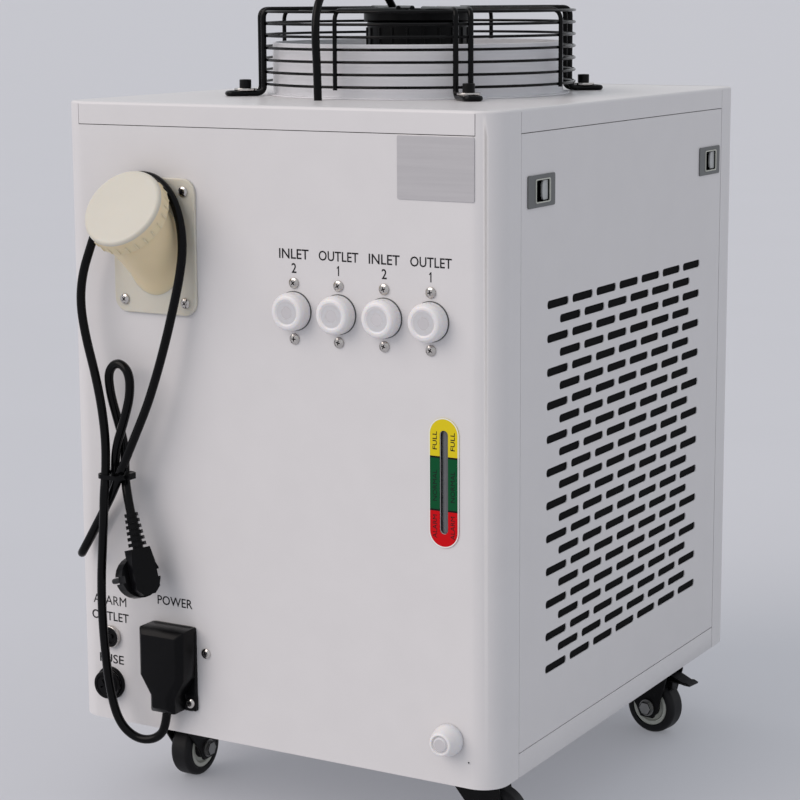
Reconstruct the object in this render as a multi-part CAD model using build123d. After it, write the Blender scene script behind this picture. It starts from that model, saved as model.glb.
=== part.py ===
from build123d import *

import os
from math import cos, pi, radians, sin, tan

# Industrial water chiller on casters. Millimetres, +Z up, floor at Z = 0.
# The connection panel faces -Y and the photographed slotted side faces +X.

# Cabinet
CABINET_WIDTH = 400.0
CABINET_DEPTH = 475.0
CABINET_HEIGHT = 518.0
FLOOR_GAP = 72.0
SHEET = 1.2
CORNER_RADIUS = 22.0
END_PANEL_WRAP = 39.0
RETURN_FLANGE = 11.0
COVER_SKIRT = 18.0
COVER_CORNER_CUT = 18.0
BASE_SKIRT = 19.4
SEAM = 0.6
SEAT_GAP = 0.3

# Side panel grille
SLOT_LENGTH = 37.8
SLOT_HEIGHT = 6.5
SLOT_PITCH_ALONG = 44.55
SLOT_PITCH_UP = 13.24
SLOT_SIDE_MARGIN = 40.0
SLOT_TOP_MARGIN = 145.0
SLOT_FIRST_ROW_UP = 74.3
FILTER_THICKNESS = 3.0
FILTER_MARGIN = 9.0

# Side panel latches
LATCH_DROP = 66.0
LATCH_ALONG = 75.0
LATCH_LENGTH = 46.0
LATCH_HEIGHT = 28.0
LATCH_PROUD = 1.2
LATCH_BODY_DEPTH = 9.0
LATCH_BODY_MARGIN = 3.0
LATCH_SLOT_LENGTH = 21.0
LATCH_SLOT_HEIGHT = 18.0
LATCH_SLOT_SHIFT = 1.5
LEVER_LENGTH = 9.0
LEVER_THICKNESS = 4.5
LEVER_CROWN = 2.0

# Fan on the top cover
FAN_RING_RADIUS = 124.0
FAN_RING_WALL = 2.0
FAN_RING_HEIGHT = 44.0
FAN_RING_FLANGE = 6.0
FAN_TIP_GAP = 5.0
FAN_BLADE_ROOT_SINK = 4.0
FAN_BLADE_DROP = 4.0
FAN_BLADES = 5
FAN_BLADE_CHORD = 62.0
FAN_BLADE_PITCH = 24.0
FAN_BLADE_SHEET = 1.6
FAN_BLADE_CAMBER = 9.0
MOTOR_RADIUS = 43.0
MOTOR_CAN_HEIGHT = 34.0
MOTOR_CAN_END = 4.0
MOTOR_FLANGE_HEIGHT = 8.0
MOTOR_SHAFT_RADIUS = 6.0
MOTOR_RUNNING_GAP = 0.3

# Wire guard over the fan
WIRE = 2.4
LEG_WIRE = 4.6
RIB_WIRE = 3.6
WELD_SINK = 1.8
GUARD_RADIUS = 134.0
GUARD_RINGS = 7
GUARD_RING_PITCH = 10.0
GUARD_RING_SIDES = 16
GUARD_TOP_RADII = (54.0, 72.0, 90.0, 108.0)
GUARD_LEG_SPREAD = 12.5
GUARD_FOOT_LENGTH = 30.0
GUARD_BOLT_RADIUS = 5.0
GUARD_BOLT_HEAD = 9.0
GUARD_WASHER_RADIUS = 9.5
GUARD_WASHER_HEIGHT = 2.0
MOTOR_PLATE_RADIUS = 46.0
GUARD_LEG_ANGLES = (45, 135, 225, 315)
GUARD_RIB_ANGLES = (0, 90, 180, 270)
GUARD_BOLT_SHANK = 2.6
GUARD_BOLT_SIDES = 8

# Fan cable
FAN_CABLE_DIAMETER = 6.6
FAN_CABLE_HOLE = 3.9
# Across and back from the cabinet's centre, and up from its base, from the motor to the cover.
FAN_CABLE_ROUTE = (
    (-9.0, -27.0, 591.3),
    (-9.8, -38.0, 604.5),
    (-11.3, -58.0, 610.0),
    (-12.0, -84.0, 612.0),
    (-12.0, -112.0, 611.0),
    (-11.0, -135.0, 605.0),
    (-9.0, -149.0, 590.0),
    (-7.5, -153.0, 568.0),
    (-7.1, -151.2, 543.0),
    (-7.0, -150.5, 508.0),
)

# Filler on the rear panel
FILLER_ACROSS = 93.0
FILLER_DROP = 113.5
FILLER_PLATE_WIDTH = 80.0
FILLER_PLATE_HEIGHT = 110.0
FILLER_PLATE_THICKNESS = 3.0
FILLER_PLATE_CORNER = 12.0
FILLER_SCREW_ACROSS = 59.5
FILLER_SCREW_UP = 89.0
FILLER_TILT = 36.0
FILLER_AXIS_LIFT = 2.5
FILLER_NECK_ROOT_RADIUS = 25.5
FILLER_NECK_END_RADIUS = 30.0
FILLER_BORE_RADIUS = 21.0
FILLER_NECK_LENGTH = 51.0
FILLER_CAP_RADIUS = 34.0
FILLER_CAP_SKIRT = 12.0
FILLER_CAP_TOP = 4.0
FILLER_CAP_EDGE = 3.5
FILLER_CAP_SIDES = 32

# Water ports on the rear panel
PORT_COUNT = 4
PORT_LAST_INSET = 55.15
PORT_PITCH = 40.35
PORT_DROP = 157.6
PORT_SOCKET_RADIUS = 9.3
PORT_SOCKET_WALL = 2.6
PORT_SOCKET_PROUD = 8.5
PORT_SOCKET_LENGTH = 26.0
PORT_FLANGE_WIDTH = 32.0
PORT_FLANGE_HEIGHT = 54.0
PORT_FLANGE_THICKNESS = 3.0
PORT_SCREW_SPACING = 43.8
PORT_CAP_RADIUS = 15.0
PORT_CAP_LENGTH = 12.5
PORT_CAP_DOME = 4.0
PORT_CAP_RECESS_RADIUS = 6.4
PORT_CAP_RECESS_DEPTH = 1.4
CAP_SIDES = 18
LARGE_ROUND_SIDES = 28

# Level gauge
GAUGE_INSET = 44.2
GAUGE_BELOW_PORTS = 120.1
GAUGE_WIDTH = 23.4
GAUGE_LENGTH = 95.7
GAUGE_THICKNESS = 0.8
GAUGE_SLOT_WIDTH = 7.1
GAUGE_SLOT_LENGTH = 77.5
GAUGE_TUBE_RADIUS = 5.0
GAUGE_TUBE_WALL = 1.0
GAUGE_TUBE_LENGTH = 104.0

# Drain
DRAIN_INSET = 40.0
DRAIN_UP = 37.0
DRAIN_SOCKET_RADIUS = 7.5
DRAIN_SOCKET_WALL = 2.5
DRAIN_SOCKET_PROUD = 12.0
DRAIN_NUT_RADIUS = 14.5
DRAIN_NUT_HEIGHT = 4.0
DRAIN_CAP_RADIUS = 12.6
DRAIN_CAP_LENGTH = 13.0
DRAIN_CAP_EDGE = 1.8

# Alarm socket and fuse
ALARM_ACROSS = 37.5
ALARM_UP = 72.5
ALARM_RADIUS = 9.5
ALARM_PROUD = 4.0
ALARM_BODY_RADIUS = 7.5
ALARM_RIM = 2.5
ALARM_BODY_DEPTH = 16.0
FUSE_ACROSS = 36.0
FUSE_UP = 32.0
FUSE_HOLDER_RADIUS = 14.0
FUSE_HOLDER_PROUD = 3.0
FUSE_BODY_RADIUS = 8.5
FUSE_BODY_DEPTH = 26.0
FUSE_CAP_RADIUS = 12.0
FUSE_CAP_HEIGHT = 6.0
FUSE_STEM_RADIUS = 5.5
FUSE_STEM_LENGTH = 14.0
FUSE_SLOT_WIDTH = 1.8
FUSE_SLOT_LENGTH = 11.0

# Power inlet and its cover
INLET_ACROSS = 102.5
INLET_UP = 68.0
INLET_WIDTH = 25.0
INLET_HEIGHT = 34.0
INLET_DEPTH = 20.0
INLET_RIM = 3.0
INLET_RIM_THICKNESS = 2.0
INLET_WALL = 3.0
INLET_PINS = ((-4.0, -9.0), (-4.0, 9.0), (4.0, 0.0))
INLET_PIN_WIDTH = 2.0
INLET_PIN_LENGTH = 12.0
COVER_UP = 57.0
COVER_WIDTH = 44.0
COVER_HEIGHT = 71.0
COVER_DEPTH = 24.0
COVER_WALL = 2.2
COVER_NECK_WIDTH = 24.0
COVER_NECK_UP = 14.0
COVER_TAPER_UP = 16.0
COVER_EDGE = 5.0
COVER_EAR_HEIGHT = 14.0
COVER_EAR_WIDTH = 10.5
COVER_EAR_THICKNESS = 4.0

# Panel screws
SCREW_HEAD_RADIUS = 4.4
SCREW_HEAD_HEIGHT = 2.2
SCREW_HEAD_SIDES = 8
SCREW_SHANK_RADIUS = 1.8
SCREW_SHANK_LENGTH = 9.0
SCREW_SHANK_SIDES = 6
SCREW_CLEARANCE = 0.1
EARTH_SCREW = (133.8, 71.6, 0.0)

# Power cord and plug
CORD_DIAMETER = 7.4
CORD_EXIT_OUT = 12.0
CORD_EXIT_GAP = 1.2
CORD_SIDES = 6
# Across, out and up from the rear face's lower left corner, from the cover to the plug.
CORD_ROUTE = (
    (102.5, 12.0, 33.0),
    (101.8, 12.5, 7.5),
    (90.5, 14.5, -5.0),
    (73.0, 17.3, -6.0),
    (58.0, 20.5, 7.0),
    (52.0, 23.5, 36.0),
    (51.0, 27.0, 70.0),
    (51.5, 30.0, 102.0),
    (54.0, 33.0, 132.0),
    (57.5, 34.5, 161.0),
    (59.5, 34.5, 186.0),
    (58.8, 32.5, 204.0),
    (57.8, 28.0, 222.0),
    (57.0, 26.0, 246.0),
    (53.5, 25.0, 272.0),
    (46.8, 24.0, 300.0),
    (37.5, 23.0, 329.0),
    (32.0, 22.0, 356.0),
    (33.7, 20.5, 380.0),
    (42.0, 19.0, 403.4),
    (50.5, 16.0, 428.0),
    (60.0, 12.0, 449.5),
    (75.5, 6.8, 460.5),
    (96.0, 6.8, 461.0),
    (115.5, 11.5, 450.0),
    (125.5, 12.5, 430.3),
    (129.0, 13.5, 406.7),
    (126.5, 15.5, 382.8),
    (120.8, 17.5, 357.0),
    (114.4, 19.5, 331.2),
    (106.9, 21.5, 305.3),
    (98.4, 23.5, 279.8),
    (88.6, 26.0, 256.5),
    (79.0, 27.5, 235.5),
    (69.8, 26.5, 217.5),
    (59.5, 23.5, 200.5),
    (47.5, 22.5, 182.0),
    (36.5, 22.5, 164.0),
    (26.5, 22.5, 148.0),
    (20.6, 14.7, 145.9),
    (20.2, 6.9, 152.1),
    (30.7, 7.3, 168.0),
    (41.5, 9.0, 184.5),
    (52.0, 13.5, 201.0),
    (60.3, 19.2, 218.0),
    (64.3, 22.6, 240.0),
    (73.5, 23.2, 262.5),
    (80.5, 22.8, 285.0),
    (79.5, 22.0, 304.0),
    (67.5, 20.5, 311.5),
    (56.0, 19.0, 303.0),
    (55.8, 16.8, 284.0),
    (60.5, 14.2, 262.5),
    (66.5, 13.3, 241.0),
    (68.3, 16.3, 218.0),
    (74.2, 22.5, 204.0),
    (79.0, 24.0, 188.0),
)
TIE_UP = 218.0
TIE_ACROSS = 64.8
TIE_OUT = 22.9
TIE_WIDTH = 23.0
TIE_DEPTH = 22.0
TIE_BAND = 1.1
TIE_HEIGHT = 3.4
TIE_CORNER = 5.0
TIE_HEAD = 5.0
PLUG_RADIUS = 17.5
PLUG_DISC = 12.0
PLUG_BACK = 9.0
PLUG_BACK_WIDTH = 21.0
PLUG_NECK_UP = 22.5
PLUG_RELIEF_LENGTH = 29.0
PLUG_RELIEF_TOP_RADIUS = 5.6
PLUG_RELIEF_FOOT_RADIUS = 7.4
PLUG_RIBS = 6
PLUG_RIB_DEPTH = 1.2
PLUG_RIB_SHARE = 0.6
PLUG_RIB_SIDES = 8
PLUG_SIDES = 24
PLUG_NOTCH = 6.0
PLUG_PIN_RADIUS = 2.4
PLUG_PIN_SPACING = 19.0
PLUG_PIN_LENGTH = 19.0
PLUG_TURN = 25.0

# Casters: across and back from the cabinet's corner, and the way the wheel trails
CASTER_INSET_ACROSS = 57.0
CASTER_REAR_BACK = 68.0
CASTER_FRONT_INSET = 82.0
CASTER_FRONT_BACK = CABINET_DEPTH - CASTER_FRONT_INSET
CASTERS = (
    ("rear_left", CASTER_INSET_ACROSS, CASTER_REAR_BACK, 90.0, False),
    ("rear_right", CABINET_WIDTH - CASTER_INSET_ACROSS, CASTER_REAR_BACK, 8.0, False),
    ("front_left", CASTER_INSET_ACROSS, CASTER_FRONT_BACK, 62.0, True),
    ("front_right", CABINET_WIDTH - CASTER_INSET_ACROSS, CASTER_FRONT_BACK, -9.0, True),
)
WHEEL_RADIUS = 25.0
WHEEL_WIDTH = 20.0
WHEEL_HUB_WIDTH = 23.0
WHEEL_HUB_RADIUS = 8.0
WHEEL_DISH_RADIUS = 17.5
WHEEL_DISH_DEPTH = 3.0
WHEEL_EDGE = 3.0
BORE_SIDES = 16
CASTER_TRAIL = 21.0
CASTER_PLATE_LENGTH = 60.0
CASTER_PLATE_WIDTH = 48.0
CASTER_PLATE = 2.6
RACE_RADIUS = 19.0
RACE_HEIGHT = 5.0
FORK_SHEET = 2.4
FORK_CROWN_LENGTH = 40.0
FORK_EYE_RADIUS = 11.5
KINGPIN_RADIUS = 5.0
KINGPIN_HEAD_RADIUS = 7.5
KINGPIN_HEAD = 2.2
AXLE_RADIUS = 4.0
AXLE_HEAD_RADIUS = 6.6
AXLE_HEAD_HEIGHT = 4.0
RUNNING_GAP = 0.05
FORK_FRONT = 6.0
FORK_FRONT_WITH_BRAKE = 21.0
PEDAL_WIDTH = 22.0
PEDAL_PIN_RADIUS = 2.5
PEDAL_PIN_LIFT = 31.0
PEDAL_PIN_AHEAD = 12.0
PEDAL_REACH = 34.0

# Pieces inside the cabinet
FLOOR_SHEET = 1.5
TANK_LEFT_GAP = 38.0
TANK_RIGHT_GAP = 22.0
TANK_DEPTH = 118.0
TANK_HEIGHT = 300.0
TANK_BACK = 30.0
TANK_EDGE = 10.0
TANK_WALL = 3.0
TOWER_WIDTH = 50.0
TOWER_ABOVE_FILLER = 35.5
TOWER_BELOW_FILLER = 59.5
TOWER_REAR = 60.0
COMPRESSOR_RADIUS = 58.0
COMPRESSOR_HEIGHT = 178.0
COMPRESSOR_ACROSS = 99.0
COMPRESSOR_BACK = 250.0
COMPRESSOR_FOOT = 6.0
CONDENSER_THICKNESS = 40.0
CONDENSER_REAR_GAP = 32.0
CONDENSER_FRONT_GAP = 55.0
CONDENSER_HEIGHT = 400.0
CONDENSER_SIDE_GAP = 22.0
CONDENSER_FINS = 9
CONDENSER_CORE_DEPTH = 26.0
CONDENSER_FRAME = 6.0
PUMP_SIDE_GAP = 16.0
PUMP_BACK = 190.0
PUMP_MOTOR_RADIUS = 38.0
PUMP_MOTOR_LENGTH = 90.0
PUMP_VOLUTE_RADIUS = 46.0
PUMP_VOLUTE_LENGTH = 32.0
PUMP_FOOT_HEIGHT = 14.0
PUMP_OUTLET_RADIUS = 11.0
ELECTRICAL_WIDTH = 190.0
ELECTRICAL_DEPTH = 70.0
ELECTRICAL_HEIGHT = 170.0
ELECTRICAL_UP = 250.0
ELECTRICAL_SIDE_GAP = 35.0
CONTROLLER_WIDTH = 78.0
CONTROLLER_HEIGHT = 35.0
CONTROLLER_DEPTH = 62.0
CONTROLLER_DROP = 78.0
CONTROLLER_BEZEL = 4.0
CONTROLLER_PROUD = 3.0
KEY_SIZE = 7.0
KEY_PROUD = 1.0

# Places and lengths that follow from the cabinet's size
FAN_ACROSS = CABINET_WIDTH / 2
FAN_BACK = CABINET_DEPTH / 2
LATCH_UP = CABINET_HEIGHT - LATCH_DROP
FILLER_UP = CABINET_HEIGHT - FILLER_DROP
FILLER_AXIS_UP = FILLER_UP + FILLER_AXIS_LIFT
PORT_UP = CABINET_HEIGHT - PORT_DROP
GAUGE_ACROSS = CABINET_WIDTH - GAUGE_INSET
GAUGE_UP = PORT_UP - GAUGE_BELOW_PORTS
DRAIN_ACROSS = CABINET_WIDTH - DRAIN_INSET
TANK_WIDTH = CABINET_WIDTH - TANK_LEFT_GAP - TANK_RIGHT_GAP
TANK_ACROSS = TANK_LEFT_GAP + TANK_WIDTH / 2
TOWER_TOP = FILLER_UP + TOWER_ABOVE_FILLER
TOWER_LOW = FILLER_UP - TOWER_BELOW_FILLER
PUMP_ACROSS = COMPRESSOR_ACROSS + COMPRESSOR_RADIUS + PUMP_SIDE_GAP + PUMP_VOLUTE_RADIUS
CONDENSER_START = TANK_BACK + TANK_DEPTH + CONDENSER_REAR_GAP
CONDENSER_LENGTH = CABINET_DEPTH - CONDENSER_FRONT_GAP - CONDENSER_START
CONDENSER_BACK = CONDENSER_START + CONDENSER_LENGTH / 2
ELECTRICAL_ACROSS = ELECTRICAL_SIDE_GAP + (ELECTRICAL_WIDTH - CABINET_WIDTH) / 2
CONTROLLER_UP = CABINET_HEIGHT - CONTROLLER_DROP


def rear_plane(across, up, out=0.0):
    """Plane on the rear face, facing away from the cabinet, by distances from its lower left corner."""
    origin = (across - CABINET_WIDTH / 2, -CABINET_DEPTH / 2 - out, FLOOR_GAP + up)
    return Plane(origin=origin, x_dir=(1, 0, 0), z_dir=(0, -1, 0))


def side_plane(along, up, out=0.0):
    """Plane on the right side face, facing away from the cabinet, by distances from its rear edge."""
    origin = (CABINET_WIDTH / 2 + out, along - CABINET_DEPTH / 2, FLOOR_GAP + up)
    return Plane(origin=origin, x_dir=(0, 1, 0), z_dir=(1, 0, 0))


def level_plane(across, back, up):
    """Horizontal plane by distances from the cabinet's rear left lower corner."""
    origin = (across - CABINET_WIDTH / 2, back - CABINET_DEPTH / 2, FLOOR_GAP + up)
    return Plane(origin=origin, x_dir=(1, 0, 0), z_dir=(0, 0, 1))


def tube(plane, outer, inner, length):
    return extrude(plane * (Circle(outer) - Circle(inner)), length)


def rod(plane, radius, length):
    return extrude(plane * Circle(radius), length)


def block(plane, width, height, length):
    return extrude(plane * Rectangle(width, height), length)


def prism(plane, radius, length, sides=CAP_SIDES):
    """Many-sided bar that stands in for a small round one."""
    return extrude(plane * RegularPolygon(radius, sides), length)


def well(plane, radius, length, sides=CAP_SIDES):
    """Many-sided hole that clears a round bar of this radius."""
    return extrude(plane * RegularPolygon(radius / cos(pi / sides), sides), length)


def cabinet_outline(inset=0.0):
    radius = CORNER_RADIUS - inset
    return RectangleRounded(CABINET_WIDTH - 2 * inset, CABINET_DEPTH - 2 * inset, radius)


def port_across(index):
    return CABINET_WIDTH - PORT_LAST_INSET - PORT_PITCH * (PORT_COUNT - 1 - index)


# Sheet metal

def make_end_panel():
    """Rear panel blank: a wrapped sheet with round corners, return flanges and a notch for the cover."""
    wall = cabinet_outline() - cabinet_outline(SHEET)
    strip = Pos(0, (END_PANEL_WRAP - CABINET_DEPTH) / 2) * Rectangle(CABINET_WIDTH, END_PANEL_WRAP)
    height = CABINET_HEIGHT - SHEET - SEAM
    panel = extrude(Pos(0, 0, FLOOR_GAP) * (wall & strip), height)
    flange_height = CABINET_HEIGHT - COVER_SKIRT - BASE_SKIRT - 2 * SEAM
    for side in (-1, 1):
        x = side * (CABINET_WIDTH / 2 - SHEET - RETURN_FLANGE / 2)
        y = END_PANEL_WRAP - CABINET_DEPTH / 2 - SHEET / 2
        z = FLOOR_GAP + BASE_SKIRT + SEAM + flange_height / 2
        panel += Pos(x, y, z) * Box(RETURN_FLANGE, SHEET, flange_height)
    notch_width = CABINET_WIDTH - 2 * COVER_CORNER_CUT
    notch = rear_plane(CABINET_WIDTH / 2, CABINET_HEIGHT - COVER_SKIRT / 2 - SEAM / 2)
    return panel - extrude(notch * Rectangle(notch_width, COVER_SKIRT + SEAM), 2 * SHEET, both=True)


def rear_round_holes():
    """Across, up and radius of what passes through the round holes of the rear panel."""
    port = PORT_SOCKET_RADIUS + PORT_SOCKET_WALL
    holes = [(port_across(index), PORT_UP, port) for index in range(PORT_COUNT)]
    holes.append((DRAIN_ACROSS, DRAIN_UP, DRAIN_SOCKET_RADIUS + DRAIN_SOCKET_WALL))
    holes.append((ALARM_ACROSS, ALARM_UP, ALARM_BODY_RADIUS))
    holes.append((FUSE_ACROSS, FUSE_UP, FUSE_BODY_RADIUS))
    return holes


def make_rear_panel():
    panel = make_end_panel()
    for across, up, radius in rear_round_holes():
        panel -= well(rear_plane(across, up), radius + SEAT_GAP, -SHEET)
    gauge_slot = SlotOverall(GAUGE_SLOT_LENGTH, GAUGE_SLOT_WIDTH, rotation=90)
    panel -= extrude(rear_plane(GAUGE_ACROSS, GAUGE_UP) * gauge_slot, -SHEET)
    inlet = rear_plane(INLET_ACROSS, INLET_UP)
    panel -= block(inlet, INLET_WIDTH + 2 * SEAT_GAP, INLET_HEIGHT + 2 * SEAT_GAP, -SHEET)
    for across, up, _ in screw_places():
        panel -= screw_hole(across, up, 0.0, SHEET)
    filler_hole = FILLER_BORE_RADIUS / cos(radians(FILLER_TILT))
    filler = Ellipse(FILLER_BORE_RADIUS + SHEET, filler_hole + SHEET)
    return panel - extrude(rear_plane(FILLER_ACROSS, FILLER_AXIS_UP) * filler, 2 * SHEET, both=True)


def make_front_panel():
    panel = make_end_panel().rotate(Axis.Z, 180)
    wide = CONTROLLER_WIDTH + 2 * SEAT_GAP
    return panel - block(front_plane(0, CONTROLLER_UP), wide, CONTROLLER_HEIGHT + 2 * SEAT_GAP, -2 * SHEET)


def fan_plane(up):
    return level_plane(FAN_ACROSS, FAN_BACK, up)


def make_top_cover():
    top = FLOOR_GAP + CABINET_HEIGHT
    cover = extrude(Pos(0, 0, top - SHEET) * cabinet_outline(), SHEET)
    wall = cabinet_outline() - cabinet_outline(SHEET)
    rear_width = CABINET_WIDTH - 2 * (COVER_CORNER_CUT + SEAM)
    side_length = CABINET_DEPTH - 2 * (END_PANEL_WRAP + SEAM)
    zones = Rectangle(rear_width, CABINET_DEPTH) + Rectangle(CABINET_WIDTH, side_length)
    cover += extrude(Pos(0, 0, top - COVER_SKIRT) * (wall & zones), COVER_SKIRT - SHEET / 2)
    hole = extrude(fan_plane(CABINET_HEIGHT) * Circle(FAN_RING_RADIUS - FAN_RING_WALL), 2 * SHEET, both=True)
    x, y, _ = FAN_CABLE_ROUTE[-1]
    cover -= prism(Plane(origin=(x, y, top)), FAN_CABLE_HOLE, -SHEET)
    for angle in GUARD_LEG_ANGLES:
        cover -= guard_bolt_hole(angle)
    return cover - hole


def make_base_pan():
    """Folded tray: a floor inside the end panels and skirts below the side panels."""
    side_length = CABINET_DEPTH - 2 * (END_PANEL_WRAP + SEAM)
    inner = cabinet_outline(SHEET + SEAT_GAP)
    floor = inner + Rectangle(CABINET_WIDTH, side_length)
    pan = extrude(Pos(0, 0, FLOOR_GAP) * floor, FLOOR_SHEET)
    for side in (-1, 1):
        x = side * (CABINET_WIDTH - SHEET) / 2
        pan += Pos(x, 0, FLOOR_GAP + BASE_SKIRT / 2) * Box(SHEET, side_length, BASE_SKIRT)
    return pan


def side_panel_length():
    return CABINET_DEPTH - 2 * (END_PANEL_WRAP + SEAM)


def side_panel_height():
    return CABINET_HEIGHT - COVER_SKIRT - BASE_SKIRT - 2 * SEAM


def side_panel_centre_up():
    return BASE_SKIRT + SEAM + side_panel_height() / 2


def slots_in_long_row():
    room = side_panel_length() - 2 * SLOT_SIDE_MARGIN - SLOT_LENGTH
    return int(room / SLOT_PITCH_ALONG) + 1


def slot_rows():
    return int((CABINET_HEIGHT - SLOT_TOP_MARGIN - SLOT_FIRST_ROW_UP) / SLOT_PITCH_UP) + 1


def slot_places():
    """Centres of the grille slots, by distance from the rear edge and height, in staggered rows."""
    places = []
    for row in range(slot_rows()):
        count = slots_in_long_row() - row % 2
        first = CABINET_DEPTH / 2 - SLOT_PITCH_ALONG * (count - 1) / 2
        for index in range(count):
            places.append((first + SLOT_PITCH_ALONG * index, SLOT_FIRST_ROW_UP + SLOT_PITCH_UP * row))
    return places


def latch_places():
    """Distance from the rear edge of the two latches of a side panel."""
    return (LATCH_ALONG, CABINET_DEPTH - LATCH_ALONG)


def make_side_panel():
    length = side_panel_length()
    height = side_panel_height()
    middle = CABINET_DEPTH / 2
    up = side_panel_centre_up()
    face = Rectangle(length, height)
    cuts = [Pos(along - middle, z - up) * Rectangle(SLOT_LENGTH, SLOT_HEIGHT) for along, z in slot_places()]
    body_length = LATCH_LENGTH - 2 * LATCH_BODY_MARGIN + 2 * SEAT_GAP
    body_height = LATCH_HEIGHT - 2 * LATCH_BODY_MARGIN + 2 * SEAT_GAP
    for along in latch_places():
        cuts.append(Pos(along - middle, LATCH_UP - up) * Rectangle(body_length, body_height))
    plane = side_plane(middle, up, -SHEET)
    panel = extrude(plane * (face - cuts), SHEET)
    inner = Rectangle(length - 2 * SHEET, height - 2 * SHEET)
    rim = extrude(side_plane(middle, up, -RETURN_FLANGE) * (face - inner), RETURN_FLANGE - SHEET / 2)
    return panel + rim


def make_filter():
    """Dust filter: a thin pad held behind the slots of a side panel."""
    long_row = SLOT_PITCH_ALONG * (slots_in_long_row() - 1) + SLOT_LENGTH
    rows = SLOT_PITCH_UP * (slot_rows() - 1) + SLOT_HEIGHT
    up = SLOT_FIRST_ROW_UP + (rows - SLOT_HEIGHT) / 2
    plane = side_plane(CABINET_DEPTH / 2, up, -SHEET - FILTER_THICKNESS)
    return block(plane, long_row + 2 * FILTER_MARGIN, rows + 2 * FILTER_MARGIN, FILTER_THICKNESS)


def make_latch_bezel(along):
    plate = block(side_plane(along, LATCH_UP), LATCH_LENGTH, LATCH_HEIGHT, LATCH_PROUD)
    plate = chamfer(plate.faces().sort_by(Axis.X)[-1].edges(), LATCH_PROUD / 2)
    width = LATCH_LENGTH - 2 * LATCH_BODY_MARGIN
    height = LATCH_HEIGHT - 2 * LATCH_BODY_MARGIN
    body = block(side_plane(along, LATCH_UP, -LATCH_BODY_DEPTH), width, height, LATCH_BODY_DEPTH)
    pocket_plane = side_plane(along + LATCH_SLOT_SHIFT, LATCH_UP, LATCH_PROUD)
    pocket_depth = LATCH_PROUD + LATCH_BODY_DEPTH - SHEET
    return plate + body - block(pocket_plane, LATCH_SLOT_LENGTH, LATCH_SLOT_HEIGHT, -pocket_depth)


def make_latch_lever(along):
    """Thumb slide of a latch, curved across its face, at the far end of its pocket."""
    end = along + LATCH_SLOT_SHIFT + LATCH_SLOT_LENGTH / 2 - SEAT_GAP
    height = LATCH_SLOT_HEIGHT - 2 * SEAT_GAP
    foot = LATCH_BODY_DEPTH - SHEET - SEAT_GAP
    plane = side_plane(end - LEVER_LENGTH / 2, LATCH_UP, -foot)
    half = LEVER_LENGTH / 2
    crown = ThreePointArc((half, LEVER_THICKNESS), (0, LEVER_THICKNESS + LEVER_CROWN), (-half, LEVER_THICKNESS))
    sides = Polyline((-half, LEVER_THICKNESS), (-half, 0), (half, 0), (half, LEVER_THICKNESS))
    profile = Plane(origin=plane.origin, x_dir=(0, -1, 0), z_dir=(0, 0, 1))
    return extrude(profile * make_face(sides + crown), height / 2, both=True)


# Fan

def make_fan_ring():
    """Spun ring that surrounds the blades, with a flange lying on the cover."""
    ring = tube(fan_plane(CABINET_HEIGHT), FAN_RING_RADIUS, FAN_RING_RADIUS - FAN_RING_WALL, FAN_RING_HEIGHT)
    flange = tube(
        fan_plane(CABINET_HEIGHT),
        FAN_RING_RADIUS + FAN_RING_FLANGE,
        FAN_RING_RADIUS - FAN_RING_WALL,
        SHEET,
    )
    return ring + flange


def guard_top_up():
    return CABINET_HEIGHT + GUARD_RING_PITCH * GUARD_RINGS


def motor_plate_up():
    """Underside of the plate that hangs from the guard's leg wires."""
    return guard_top_up() + WIRE / 2 - WELD_SINK - MOTOR_FLANGE_HEIGHT


def make_fan_motor():
    """Fixed plate and shaft of the outer-rotor motor, hung from the top wires of the guard."""
    plate = prism(fan_plane(motor_plate_up()), MOTOR_PLATE_RADIUS, MOTOR_FLANGE_HEIGHT, LARGE_ROUND_SIDES)
    shaft_length = MOTOR_CAN_HEIGHT - MOTOR_CAN_END - 2.0
    shaft = prism(fan_plane(motor_plate_up() - shaft_length), MOTOR_SHAFT_RADIUS, shaft_length, BORE_SIDES)
    return plate + shaft


def rotor_top_up():
    return motor_plate_up() - MOTOR_RUNNING_GAP


def make_fan_rotor():
    """Motor can with swept, cambered blades set at a pitch around it."""
    low = rotor_top_up() - MOTOR_CAN_HEIGHT
    rotor = prism(fan_plane(low), MOTOR_RADIUS, MOTOR_CAN_HEIGHT, LARGE_ROUND_SIDES)
    rotor -= well(fan_plane(low + MOTOR_CAN_END), MOTOR_SHAFT_RADIUS + RUNNING_GAP, MOTOR_CAN_HEIGHT, BORE_SIDES)
    tip = FAN_RING_RADIUS - FAN_RING_WALL - FAN_TIP_GAP
    root = MOTOR_RADIUS - FAN_BLADE_ROOT_SINK
    half = FAN_BLADE_CHORD / 2
    outer = ThreePointArc((-half, 0), (0, FAN_BLADE_CAMBER), (half, 0))
    drop = FAN_BLADE_CAMBER - FAN_BLADE_SHEET
    inner = ThreePointArc((half - 0.4, -0.5), (0, drop), (-half + 0.4, -0.5))
    closing = Line(outer @ 1, inner @ 0) + Line(inner @ 1, outer @ 0)
    section = make_face(outer + inner + closing)
    middle = fan_plane(low + MOTOR_CAN_HEIGHT / 2 - FAN_BLADE_DROP)
    keep = tube(middle.offset(-FAN_BLADE_CHORD), tip, root, 2 * FAN_BLADE_CHORD)
    for index in range(FAN_BLADES):
        blade = Rot(FAN_BLADE_PITCH, 0, 0) * extrude(Plane.YZ.offset(root) * section, tip - root)
        blade = middle.location * Rot(0, 0, 360 / FAN_BLADES * index) * blade
        rotor += blade & keep
    return rotor


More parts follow.
